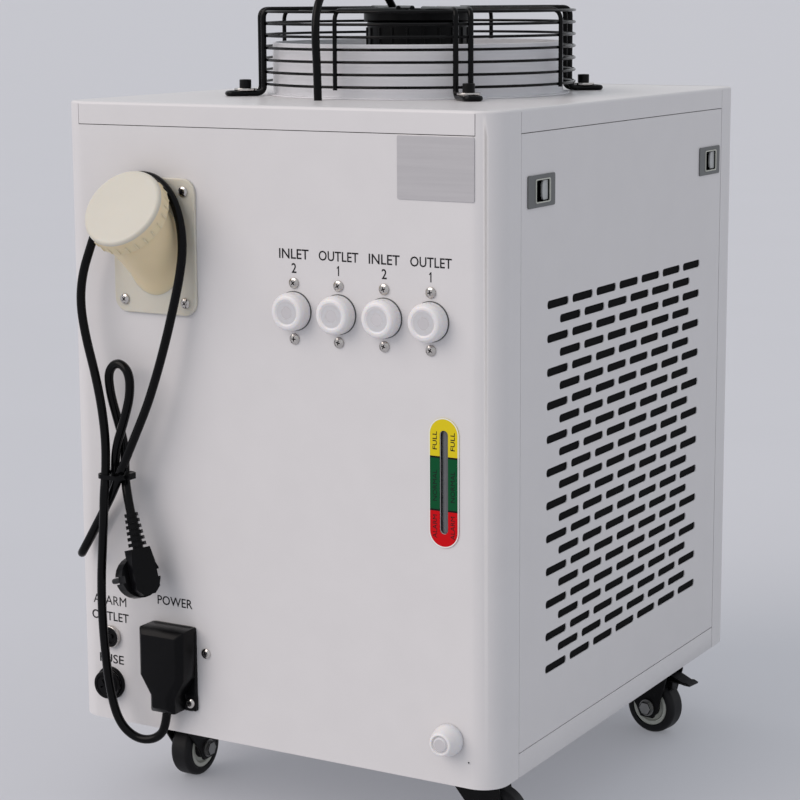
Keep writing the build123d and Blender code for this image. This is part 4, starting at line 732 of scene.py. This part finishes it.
def top_cover():
    """Rounded sheet with holes for the fan and its cable, and a skirt between the posts."""
    outline = rounded_outline(WIDTH, DEPTH, CORNER, 14)
    bend = [(EDGE, 0.0), (1.3, 0.2), (0.6, 0.7), (0.15, 1.5), (0.0, EDGE), (SHEET, EDGE), (EDGE, SHEET)]
    edge = edging(outline, [(inset, HEIGHT - drop) for inset, drop in bend])
    inner = [(x - EDGE * nx, y - EDGE * ny) for x, y, nx, ny in outline]
    cable_hole = shifted(ring_of(3.9, 16), *FAN_CABLE[-1][:2])
    sheet = plate(inner, [ring_of(FAN_BORE, 72), cable_hole], SHEET)
    parts = [(sheet, level(0, 0, HEIGHT - SHEET), 0), (edge, CENTRE, 0)]
    low, high = HEIGHT - COVER_DROP, HEIGHT - EDGE
    reach_x, reach_y = NOTCH_REACH - GAP, DEPTH / 2 - WRAP - GAP
    straight = WIDTH / 2 - CORNER
    drop = CORNER - sqrt(CORNER ** 2 - (reach_x - straight) ** 2)
    for hand in (-1, 1):
        wall, turned_in = hand * DEPTH / 2, hand * (DEPTH / 2 - drop)
        face = [(-reach_x, turned_in, 0, hand), (-straight, wall, 0, hand)]
        face += [(straight, wall, 0, hand), (reach_x, turned_in, 0, hand)]
        flank = [(hand * WIDTH / 2, -reach_y, hand, 0), (hand * WIDTH / 2, reach_y, hand, 0)]
        for path in (face, flank):
            parts.append((folded(path, SHEET, low, high), CENTRE, 0))
    build("cover_sheet", parts, ["painted_sheet"], stands_for=["top_cover"])


end_panel("rear_sheet", "rear_panel", 0.0, rear_holes())
end_panel("front_sheet", "front_panel", pi, [shifted(rounded(78.6, 35.6, 0.5, 1), 0.0, CONTROLLER_UP)])
top_cover()


# Side panels and their latches

PANEL_LENGTH = DEPTH - 2 * (WRAP + GAP)
PANEL_LOW = BASE_LIP + GAP
PANEL_HEIGHT = HEIGHT - COVER_DROP - GAP - PANEL_LOW
PANEL_UP = PANEL_LOW + PANEL_HEIGHT / 2
LATCH_UP = 455.0
LATCHES = (72.0, DEPTH - 68.0)
POCKET_SHIFT = 1.8
SLIDE_SHIFT = 7.2
SLOT_ROWS = 23
SLOTS_IN_ROW = 7
SLOT_PITCH = 44.55
ROW_PITCH = 13.24
LOWEST_ROW = 74.3


def slot_holes():
    """Staggered rows of slots, about the panel's centre."""
    holes = []
    for row in range(SLOT_ROWS):
        count = SLOTS_IN_ROW - row % 2
        for index in range(count):
            along = SLOT_PITCH * (index - (count - 1) / 2)
            up = LOWEST_ROW + ROW_PITCH * row - PANEL_UP
            holes.append(shifted(rounded(37.8, 6.5, 2.7, 3), along, up))
    return holes


def side_panel(name, hand):
    face = rounded(PANEL_LENGTH, PANEL_HEIGHT, 1.0, 2)
    opening = rounded(40.6, 20.0, 0.5, 1)
    openings = [shifted(opening, along - DEPTH / 2, LATCH_UP - PANEL_UP) for along in LATCHES]
    sheet = plate(face, slot_holes() + openings, SHEET, 0.4)
    inner = rounded(PANEL_LENGTH - 2 * SHEET, PANEL_HEIGHT - 2 * SHEET, 0.5, 2)
    rim = plate(face, [inner], RETURN - SHEET)
    parts = [
        (sheet, side(DEPTH / 2, PANEL_UP, -SHEET, hand), 0),
        (rim, side(DEPTH / 2, PANEL_UP, -RETURN, hand), 0),
    ]
    node = "side_panel_" + name
    build("grille_" + name, parts, ["painted_sheet"], node, stands_for=[node])


def latch_frames(name, hand):
    """Bezels with a raised inner lip round a dark pocket."""
    pocket = shifted(rounded(23.0, 16.4, 1.2, 4), POCKET_SHIFT, 0.0)
    lip = shifted(rounded(25.2, 18.4, 2.0, 4), POCKET_SHIFT, 0.0)
    layers = [
        (plate(rounded(46.0, 24.8, 1.6, 4), [pocket], 1.1, 0.4), 0.0, 0),
        (plate(lip, [pocket], 1.5, 0.35), 0.15, 2),
        (plate(rounded(40.0, 19.4, 1.0, 2), [pocket], 8.6), -8.8, 1),
        (plate(rounded(39.0, 18.5, 1.0, 2), [], 0.8), -9.0, 1),
    ]
    parts = []
    for along in LATCHES:
        parts += [(layer, side(along, LATCH_UP, out, hand), look) for layer, out, look in layers]
    looks = ["grey_plastic", "motor_paint", "rim_grey"]
    build("latch_frames_" + name, parts, looks, "side_panel_" + name, stands_for=["latch_bezels_" + name])


def thumb_slides(name, hand):
    turns = [pi * step / 16 for step in range(-8, 9)]
    crescent = [(-1.6 - 2.2 * cos(turn), 7.6 * sin(turn)) for turn in turns]
    crescent += [(5.6, 7.6), (5.6, -7.6)]
    slide = plate(crescent, [], 1.8, 0.5)
    stem = plate(shifted(rounded(4.0, 11.0, 0.8, 3), 2.0, 0.0), [], 5.6)
    for place, along in zip(("rear", "front"), LATCHES):
        parts = [
            (slide, side(along + SLIDE_SHIFT, LATCH_UP, -2.0, hand), 0),
            (stem, side(along + SLIDE_SHIFT, LATCH_UP, -7.4, hand), 1),
        ]
        piece = place + "_thumb_slide_" + name
        node = place + "_latch_lever_" + name
        build(piece, parts, ["pale_plastic", "motor_paint"], place + "_latch_" + name, stands_for=[node])


for name, hand in (("right", 1), ("left", -1)):
    side_panel(name, hand)
    latch_frames(name, hand)
    thumb_slides(name, hand)


# Fan guard, its bolts, the motor, the rotor and the ring

GUARD_UP = HEIGHT + 70.0
GUARD_RADIUS = 134.0
SIDE_RINGS = 7
SIDE_PITCH = 10.0
TOP_RINGS = 4
TOP_PITCH = 18.0
INNER_RING = 54.0
RING_WIRE = 1.2
LEG = 4.6
RIB = 3.6
FOOT_RADIUS = GUARD_RADIUS + 1.7
FOOT_LOOP = 30.0
PAIR = 12.5
HANGER = 40.0
CORNERS = (45, 135, 225, 315)
MOTOR_UP = 579.4
CAN_RADIUS = 43.1
CAN_LOW = 543.0
VENTS = 20
BLADES = 5
BLADE_UP = 541.0
BLADE_ROOT = 41.0
BLADE_LENGTH = 76.0
BLADE_ROWS = 12
BLADE_COLUMNS = 9
BLADE_HALF = 0.8
CAMBER = 6.0
RING_UP = HEIGHT + 44.0


def guard_path(angle, places):
    """Points at (radius, up, sideways) in the upright plane at this angle."""
    a = radians(angle)
    return [(r * cos(a) - s * sin(a), r * sin(a) + s * cos(a), up) for r, up, s in places]


def fan_guard():
    """Side and top rings, ribs, and pairs of leg wires bent into looped feet."""
    rings = [(GUARD_RADIUS, HEIGHT + SIDE_PITCH * (index + 1)) for index in range(SIDE_RINGS)]
    rings += [(INNER_RING + TOP_PITCH * index, GUARD_UP) for index in range(TOP_RINGS)]
    shapes = []
    for radius, up in rings:
        shapes.append(wire([(x, y, up) for x, y in ring_of(radius, 96)], RING_WIRE, 10, closed=True))
    over = GUARD_UP + 1.2
    for angle in (0, 90, 180, 270):
        path = guard_path(angle, [(FOOT_RADIUS, HEIGHT + 7.6, 0), (FOOT_RADIUS, over, 0), (HANGER, over, 0)])
        shapes.append(wire(eased(path, 10.0, 8), RIB / 2, 12))
    over = GUARD_UP + 1.7
    low = HEIGHT + LEG / 2
    places = [(HANGER, over), (FOOT_RADIUS, over), (FOOT_RADIUS, low), (FOOT_RADIUS + FOOT_LOOP, low)]
    there = [(radius, up, PAIR / 2) for radius, up in places]
    back = [(radius, up, -PAIR / 2) for radius, up in reversed(places)]
    for angle in CORNERS:
        shapes.append(wire(eased(guard_path(angle, there + back), 7.0, 8), LEG / 2, 14))
    parts = [(shape, CENTRE, 0) for shape in shapes]
    build("guard_wires", parts, ["guard_wire"], stands_for=["fan_guard"], weld=False)


def guard_bolts():
    """In the middle of each looped foot, on a washer."""
    parts = []
    washer = turned(eased([(0, 0), (9.5, 0), (9.5, 2.0), (0, 2.0)], 0.5, 2), 40)
    head = turned(eased([(0, 2.0), (5.0, 2.0), (5.0, 9.2), (2.9, 9.2), (2.9, 5.0), (0, 5.0)], 0.7, 3), 32)
    reach = FOOT_RADIUS + FOOT_LOOP / 2
    for angle in CORNERS:
        a = radians(angle)
        place = level(reach * cos(a), reach * sin(a), HEIGHT + LEG)
        parts += [(washer, place, 1), (head, place, 0)]
    looks = ["dark_steel", "plated_steel"]
    build("guard_bolt_set", parts, looks, stands_for=["guard_bolts"], slot="plated_steel")


def motor_plate():
    low, high = MOTOR_UP, MOTOR_UP + 8.0
    profile = [(0, low), (46.0, low), (46.0, high), (20.0, high), (18.0, high + 0.8), (0, high + 0.8)]
    shape = turned(eased(profile, 1.2, 3), 72)
    build("motor_plate", [(shape, CENTRE, 0)], ["motor_paint"], stands_for=["fan_motor"])


def fan_blade(number):
    """Pitched and cambered, in loops of points over its top and back below."""
    half_columns = (BLADE_COLUMNS - 1) / 2
    top = [(column / half_columns - 1, BLADE_HALF) for column in range(BLADE_COLUMNS)]
    loop = top + [(share, -BLADE_HALF) for share, offset in reversed(top)]
    points = []
    for row in range(BLADE_ROWS + 1):
        out = row / BLADE_ROWS
        radius = BLADE_ROOT + BLADE_LENGTH * out
        pitch = radians(30.0 - 10.0 * out)
        half = 27.0 + 7.0 * out
        lead = radians(360.0 / BLADES * number + 16.0 * out ** 2)
        for share, offset in loop:
            turn = lead + half * share * cos(pitch) / radius
            rise = half * share * sin(pitch) + CAMBER * (1 - share ** 2) + offset
            points.append((radius * cos(turn), radius * sin(turn), BLADE_UP + rise))
    return points, capped(BLADE_ROWS + 1, len(loop))


def fan_rotor():
    """Motor can with vents round it and blades that stay below the ring's top."""
    can = [(0, CAN_LOW), (41.0, CAN_LOW), (CAN_RADIUS, 546.0), (CAN_RADIUS, 579.0), (39.0, 579.0)]
    parts = [(turned(eased(can, 1.0, 3), 72), CENTRE, 0)]
    vent = wire([(CAN_RADIUS + 0.2, 0, 551.0), (CAN_RADIUS + 0.2, 0, 574.0)], 1.1, 8)
    parts += [(vent, spun(CENTRE, 2 * pi * index / VENTS), 0) for index in range(VENTS)]
    parts += [(fan_blade(number), CENTRE, 1) for number in range(BLADES)]
    looks = ["motor_paint", "blade_paint"]
    build("rotor_and_blades", parts, looks, "fan_rotor", stands_for=["fan_rotor"], slot="blade_paint")


def fan_ring():
    flange = HEIGHT + 1.2
    profile = [(FAN_BORE, HEIGHT), (130.0, HEIGHT), (130.0, flange), (124.4, flange), (124.0, RING_UP)]
    shape = turned(eased([*profile, (FAN_BORE, RING_UP)], 0.8, 3), 96, closed=True)
    build("spun_ring", [(shape, CENTRE, 0)], ["painted_ring"], stands_for=["fan_ring"])


fan_guard()
guard_bolts()
motor_plate()
fan_rotor()
fan_ring()


# Filler

FILLER_TILT = radians(36.0)
NECK = 30.0
NECK_TOP = 51.0
WALL_ROWS = 14
CAP_LOW = 39.0
CAP_TOP = 55.3
CAP_ROUND = 3.4
CAP_RIBS = 26


def tilted(distance):
    """Across the filler neck's axis, at a distance along it from the rear face."""
    across, up = FILLER_AXIS
    foot = Vector((across - WIDTH / 2, -DEPTH / 2, up + FLOOR_GAP))
    out = Vector((0, -cos(FILLER_TILT), sin(FILLER_TILT)))
    return basis(foot + out * distance, (1, 0, 0), (0, sin(FILLER_TILT), cos(FILLER_TILT)), out)


def spout_wall():
    """From a tall foot on the plate to the round mouth under the cap, in metres."""
    points = []
    foot, mouth = rear(*FILLER_FOOT, 1.0), tilted(44.0)
    for row in range(WALL_ROWS + 1):
        share = row / WALL_ROWS
        flare = 3.5 * (1 - share) ** 6
        for x, y in ring_of(1.0, 64):
            low = foot @ Vector(((26.0 + flare) * x, (34.5 + flare) * y, 0))
            high = mouth @ Vector((NECK * x, NECK * y, 0))
            points.append(tuple(low * (1 - share) + high * share))
    return points, tube(WALL_ROWS + 1, 64)


def filler_neck():
    base = plate(rounded(80, 110, 12, 8), [], FILLER_SHEET, 0.9)
    mouth = [(FILLER_BORE, NECK_TOP), (FILLER_BORE, 38.0), (NECK, 38.0), (NECK, NECK_TOP)]
    parts = [(base, rear(*FILLER_PLATE), 0), (turned(mouth, 64, closed=True), tilted(0), 0)]
    # The wall takes the warmer cream: painted warm shade of light through the plastic
    parts.append((spout_wall(), Matrix(), 1))
    build("filler_spout", parts, ["cream_plastic", "cream_warm_shade"], stands_for=["filler_neck"])


def filler_cap():
    """Skirt and ribs in a warmer cream, painted warm shade of light through the plastic; the top, from where
    it rounds, is paler.
    """
    inner = NECK_TOP + 0.4
    outline = [(0, inner), (30.3, inner), (30.3, CAP_LOW), (34.0, CAP_LOW), (34.0, CAP_TOP), (0, CAP_TOP)]
    profile = eased(outline, CAP_ROUND, 6)
    crown = CAP_TOP - CAP_ROUND
    skirt = [(radius, up) for radius, up in profile if up < crown + 0.05]
    top = [(radius, up) for radius, up in profile if up > crown - 0.05]
    parts = [(turned(skirt, 80), tilted(0), 1), (turned(top, 80), tilted(0), 0)]
    rib = wire(eased([(33.0, 0, 39.8), (34.1, 0, 40.6), (34.0, 0, 46.0), (33.0, 0, 47.2)], 1.0, 2), 0.8, 8)
    parts += [(rib, spun(tilted(0), 2 * pi * index / CAP_RIBS), 1) for index in range(CAP_RIBS)]
    looks = ["cream_plastic", "cream_warm_shade"]
    build("filler_lid", parts, looks, "filler_cap", stands_for=["filler_cap"])


filler_neck()
filler_cap()


# Water ports, drain and gauge

def port_caps():
    """Each with a thin dark grey ring on the panel round it, painted shadow of the gap between cap and panel.
    """
    shell = [(12.2, 0.0), (15.0, 0.0), (15.0, 9.0), (13.0, 12.1), (10.4, 12.5), (9.4, 11.8), (0, 11.3)]
    outer = turned(eased(shell, 1.6, 5), 48)
    # The sunk disc in darker grey: painted shade in the face's recess
    disc = turned(eased([(8.9, 11.75), (6.4, 11.5), (0, 11.7)], 0.5, 3), 32)
    # Painted shadow: a thin grey ring where the gap between cap and panel lies in shade
    gap_shadow = turned([(12.0, 0.0), (15.6, 0.0), (15.6, 0.28), (12.0, 0.28)], 48, closed=True)
    for number, across in enumerate(PORTS, 1):
        node = f"port_cap_{number}"
        place = rear(across, PORT_UP, 0.3)
        parts = [(outer, place, 0), (disc, place, 1)]
        build(f"port_lid_{number}", parts, ["white_plastic", "cap_shade_grey"], node, stands_for=[node])
        build(f"port_gap_shadow_{number}", [(gap_shadow, rear(across, PORT_UP), 0)], ["grey_plastic"])


def drain():
    """Brass socket and the tapered cap on it."""
    socket = [(6.2, -14.0), (6.2, 9.6), (7.6, 9.6), (7.6, 1.8), (11.6, 1.8), (11.6, 0.0), (9.8, 0.0)]
    socket += [(9.8, -14.0), (6.2, -14.0)]
    fitting = turned(eased(socket, 0.3, 2), 48)
    build("drain_socket", [(fitting, rear(*DRAIN), 0)], ["brass_fitting"], stands_for=["drain_fitting"])
    shell = [(0, 9.8), (7.8, 9.8), (7.8, 2.4), (11.9, 2.4), (11.9, 0.0), (12.4, 0.0), (12.4, 4.5)]
    shell += [(10.6, 11.0), (9.0, 15.4), (7.2, 15.8), (6.9, 14.6), (5.4, 14.6), (5.1, 15.6), (0, 15.6)]
    cap = turned(eased(shell, 1.2, 4), 48)
    # Groove floor in darker grey, painted shade in the groove; the middle takes the same grey
    groove = turned([(6.9, 14.65), (5.3, 14.65)], 40)
    middle = turned([(4.6, 15.65), (0, 15.65)], 32)
    place = rear(*DRAIN, 0.4)
    parts = [(cap, place, 0), (groove, place, 1), (middle, place, 1)]
    build("drain_lid", parts, ["white_plastic", "cap_shade_grey"], "drain_cap", stands_for=["drain_cap"])


def gauge():
    """Coloured film with a pale border round the tube's slot, and its words, read upward."""
    across, up = GAUGE
    opening = shifted(stadium(*GAUGE_SLOT), 0.0, GAUGE_SLOT_UP - up)
    film = plate(stadium(100.4, 25.8), [opening], 0.7, 0.15)
    border = plate(stadium(100.3, 25.7), [stadium(98.5, 23.9)], 0.08)
    parts = [(film, rear(*GAUGE), 0), (border, rear(*GAUGE, 0.68), 1)]
    looks = ["gauge_film", "print_white"]
    build("gauge_plate", parts, looks, stands_for=["level_bezel"], slot="yellow_plastic")
    letters = []
    for text, middle, length in (("FULL", 270.5, 14.0), ("NORMAL", 235.8, 24.0), ("ALARM", 204.0, 18.0)):
        for shift in (-7.7, 7.7):
            letters.append((word(text, length, 3.7), spun(rear(across + shift, middle, 0.78), pi / 2), 0))
    build("gauge_words", letters, ["print_black"], angle=0)


port_caps()
drain()
gauge()


# Screws

def cross(width, reach):
    """Outline of a cross recess."""
    quarter = [(width, width), (width, reach), (-width, reach)]
    points = []
    for turn in range(4):
        a = pi / 2 * turn
        points += [(x * cos(a) - y * sin(a), x * sin(a) + y * cos(a)) for x, y in quarter]
    return points


def screws():
    """By the ports, the filler plate's corners and the cover's foot, and the earth screw."""
    places = [(across, PORT_UP + shift, 0.0) for across in PORTS for shift in (-21.9, 21.9)]
    x, y = FILLER_PLATE
    places += [(x + right, y + up, FILLER_SHEET) for right in (-29.75, 29.75) for up in (-44.5, 44.5)]
    places += [(POWER[0] + shift, POWER[1] - 28.5, 4.0) for shift in (-17.25, 17.25)]
    places.append((*EARTH_SCREW, 0.0))
    rim = turned(eased([(0, 0), (4.4, 0), (4.3, 1.3), (2.6, 2.15), (2.5, 2.15)], 0.5, 3), 32)
    top = plate(ring_of(2.55, 24), [cross(0.45, 1.9)], 1.2)
    # Black floor under the cross recess: painted shade in the recess
    floor = turned([(2.4, 1.0), (0, 1.0)], 16)
    parts = []
    for number, place in enumerate(places):
        spot = spun(rear(*place), 0.7 * number)
        parts += [(rim, spot, 0), (top, raised(spot, 0.95), 0), (floor, spot, 1)]
    build("screw_heads", parts, ["plated_steel", "print_black"], stands_for=["panel_screws"])


screws()


# Alarm socket, fuse holder and the power cover's base

def alarm_socket():
    collar = [(7.4, -15), (7.4, 1.2), (8.5, 1.6), (8.6, 3.8), (9.3, 3.6), (9.5, 2.6), (9.5, 0), (7.5, 0)]
    core = [(8.55, 1.7), (8.4, 3.0), (6.0, 3.3), (5.2, 0.6), (2.0, 0.6), (1.8, 2.2), (0, 2.2)]
    parts = [(turned(eased(collar, 0.4, 3), 40), rear(*ALARM), 0)]
    parts.append((turned(eased(core, 0.3, 2), 32), rear(*ALARM), 1))
    looks = ["plated_steel", "motor_paint"]
    build("alarm_jack", parts, looks, stands_for=["alarm_socket"], slot="black_plastic")


def fuse():
    """Ring on the panel, and a knob with a cross recess in a thin ridge."""
    holder = turned(eased([(11.0, -1.0), (11.6, 3.0), (13.0, 3.0), (14.0, 2.0), (14.0, 0.0)], 0.5, 3), 48)
    build("fuse_ring", [(holder, rear(*FUSE), 0)], ["black_plastic"], stands_for=["fuse_holder"])
    grip = [(5.5, -14.0), (5.5, 0.1), (11.9, 0.1), (11.9, 5.0), (11.0, 6.0), (8.8, 6.0)]
    knob = turned(eased(grip, 0.5, 3), 48)
    ridge = turned(eased([(8.8, 6.0), (8.4, 5.3), (7.6, 5.3), (7.2, 5.9)], 0.2, 2), 48)
    face = plate(ring_of(7.25, 32), [cross(0.7, 5.2)], 1.6)
    floor = turned([(7.0, 4.4), (0, 4.4)], 24)
    place = rear(*FUSE, 3.3)
    parts = [(knob, place, 0), (ridge, place, 0), (floor, place, 0), (face, spun(raised(place, 4.3), 0.5), 0)]
    build("fuse_knob", parts, ["black_plastic"], "fuse_carrier", stands_for=["fuse_cap"])


def cover_base():
    opening = shifted(rounded(30.0, 40.0, 2.0, 3), 0.0, 6.0)
    base = plate(rounded(44.6, 71.6, 5.0, 6), [opening], 3.9, 0.7)
    build("cover_base", [(base, rear(*POWER), 0)], ["black_plastic"])


alarm_socket()
fuse()
cover_base()


# Lettering, the corner rivet and the bare plate

LETTER = 7.7


def lettering():
    labels = []
    for across, outward in zip(PORTS, (False, True, False, True)):
        labels.append(("OUTLET" if outward else "INLET", across, 404.9, 35.5 if outward else 27.0))
        labels.append(("1" if outward else "2", across, 393.9, 2.2 if outward else 4.4))
    labels.append(("ALARM", 36.6, 103.6, 34.0))
    labels.append(("OUTLET", 36.7, 89.8, 38.0))
    labels.append(("FUSE", 37.0, 52.9, 25.0))
    labels.append(("POWER", 103.4, 111.0, 35.0))
    parts = [(word(text, width, LETTER), rear(across, up, 0.12), 0) for text, across, up, width in labels]
    build("lettering", parts, ["print_black"], angle=0)


def corner_rivet():
    rivet = turned([(0, 0.0), (1.6, 0.0), (1.5, 0.3), (0.9, 0.5), (0.7, 0.3)], 20)
    # Black disc over the rivet's hollow centre: painted shade in the hole
    dot = turned([(0.75, 0.32), (0, 0.32)], 12)
    place = rear(377.0, 21.0)
    build("corner_rivet", [(rivet, place, 0), (dot, place, 1)], ["painted_sheet", "print_black"])


def bare_plate():
    badge = plate(rounded(65.2, 48.0, 1.5, 4), [], 0.5, 0.15)
    build("silver_plate", [(badge, rear(348.9, 475.0), 0)], ["silver_plate"])


lettering()
corner_rivet()
bare_plate()


# Wheels, axle bolts and brake pedals

TRAIL = 21.0
TYRE = 25.0
TYRE_HALF = 10.0
RIM = 17.6
# Each caster's kingpin from the cabinet's centre, and the way it trails in degrees
CASTERS = (
    ("rear_left", -143.0, -169.5, 90.0),
    ("rear_right", 143.0, -169.5, 8.0),
    ("front_left", -143.0, 155.5, 62.0),
    ("front_right", 143.0, 155.5, -9.0),
)
PEDAL_PIN = (12.0, 31.0, 0.0)
TREAD = (
    (-4.5, 3.4), (4.5, 3.6), (10.0, 2.4), (22.0, -2.4), (25.0, -2.0), (29.5, -3.8),
    (29.0, -5.0), (24.0, -5.0), (14.0, -3.6), (8.0, -3.8), (4.5, -4.5), (-4.5, -4.5),
)
HOOK = (
    (3.0, -3.5), (9.4, -3.5), (9.0, -11.5), (6.0, -13.6),
    (1.5, -13.0), (2.4, -11.4), (5.6, -10.8), (5.8, -7.0),
)


def axle_frame(x, y, angle):
    """On a wheel's axle, at its middle, with z along the axle."""
    a = radians(angle)
    along = Vector((cos(a), sin(a), 0))
    across = Vector((sin(a), -cos(a), 0))
    return basis((x + TRAIL * along.x, y + TRAIL * along.y, TYRE), along, (0, 0, 1), across)


def mirrored(half):
    """A closed profile from its half below z = 0."""
    return [*half, *[(radius, -height) for radius, height in reversed(half)]]


def casters():
    tyre_profile = [(RIM, -TYRE_HALF), (22.0, -TYRE_HALF), (TYRE, -7.0)]
    tyre_profile = [*mirrored(tyre_profile), (RIM, 7.0), (RIM, -7.0)]
    tyre = turned(eased(tyre_profile, 2.0, 4), 72, closed=True)
    rim_profile = mirrored([(4.1, -6.4), (13.0, -6.4), (14.0, -9.0), (17.7, -9.0)])
    rim = turned(eased(rim_profile, 0.8, 3), 60, closed=True)
    hub_profile = mirrored([(4.1, -11.5), (8.0, -11.5), (9.5, -8.0)])
    hub = turned(eased(hub_profile, 0.8, 3), 40, closed=True)
    bolt = turned([(0, 0), (5.2, 0), (6.7, 0), (6.7, 3.2), (5.6, 4.15), (0, 4.15)], 6)
    washer = turned([(0, 0), (7.6, 0), (7.6, 0.9), (0, 0.9)], 32)
    for name, x, y, angle in CASTERS:
        place = axle_frame(x, y, angle)
        node = "wheel_" + name
        parts = [(tyre, place, 0), (rim, place, 1), (hub, place, 0)]
        build("tyre_" + name, parts, ["tyre_rubber", "rim_grey"], node, stands_for=[node])
        parts = []
        for end in (place, place @ Matrix.Rotation(pi, 4, "X")):
            parts += [(bolt, raised(end, 14.2), 0), (washer, raised(end, 14.2), 0)]
        build("axle_bolts_" + name, parts, ["zinc_plated"], "fork_" + name, angle=20)


def pedals():
    for name, x, y, angle in CASTERS[2:]:
        pin = axle_frame(x, y, angle) @ Matrix.Translation(PEDAL_PIN)
        parts = [
            (plate(TREAD, [ring_of(2.7, 20)], 16.0, 0.7), raised(pin, -8.0), 0),
            (plate(HOOK, [], 9.0, 0.5), raised(pin, -4.5), 0),
        ]
        node = "brake_pedal_" + name
        build("tread_" + name, parts, ["dark_steel"], "brake_" + name, stands_for=[node])


casters()
pedals()


# Floor and light, in metres

FLOOR_REACH = 600.0
FLOOR_GLOW = 0.17
WORLD_STRENGTH = 0.68
SUN_COLOUR = (1.0, 0.9, 0.85)
SUN_TARGET = (0, 0, 0.35)
# Name, place, spread in degrees and power
SUNS = (
    ("key", (-1.5, -2.3, 2.3), 50.0, 1.42),
    ("edge", (-2.5, 0.6, 2.2), 30.0, 0.15),
)


def studio_floor():
    mesh = bpy.data.meshes.new("floor")
    corners = [(x * FLOOR_REACH, y * FLOOR_REACH, 0) for x, y in ((-1, -1), (1, -1), (1, 1), (-1, 1))]
    mesh.from_pydata(corners, [], [(0, 1, 2, 3)])
    floor = bpy.data.objects.new("floor", mesh)
    bpy.context.scene.collection.objects.link(floor)
    pale = material("floor", (176, 177, 182), 0.75, spread=0.012, grain=3, shine=0.2)
    shader = pale.node_tree.nodes["Principled BSDF"]
    shader.inputs["Emission Color"].default_value = (*linear((236, 238, 246)), 1)
    shader.inputs["Emission Strength"].default_value = FLOOR_GLOW
    mesh.materials.append(pale)


def studio_light():
    world = bpy.data.worlds.new("studio")
    world.use_nodes = True
    bpy.context.scene.world = world
    background = world.node_tree.nodes["Background"]
    background.inputs["Color"].default_value = (*linear((246, 249, 254)), 1)
    background.inputs["Strength"].default_value = WORLD_STRENGTH
    for name, place, spread, power in SUNS:
        data = bpy.data.lights.new(name, "SUN")
        data.angle = radians(spread)
        data.energy = power
        data.color = SUN_COLOUR
        lamp = bpy.data.objects.new(name, data)
        lamp.location = place
        aim = Vector(SUN_TARGET) - Vector(place)
        lamp.rotation_euler = aim.to_track_quat("-Z", "Y").to_euler()
        bpy.context.scene.collection.objects.link(lamp)


studio_floor()
studio_light()
bpy.context.scene.view_settings.view_transform = "Standard"
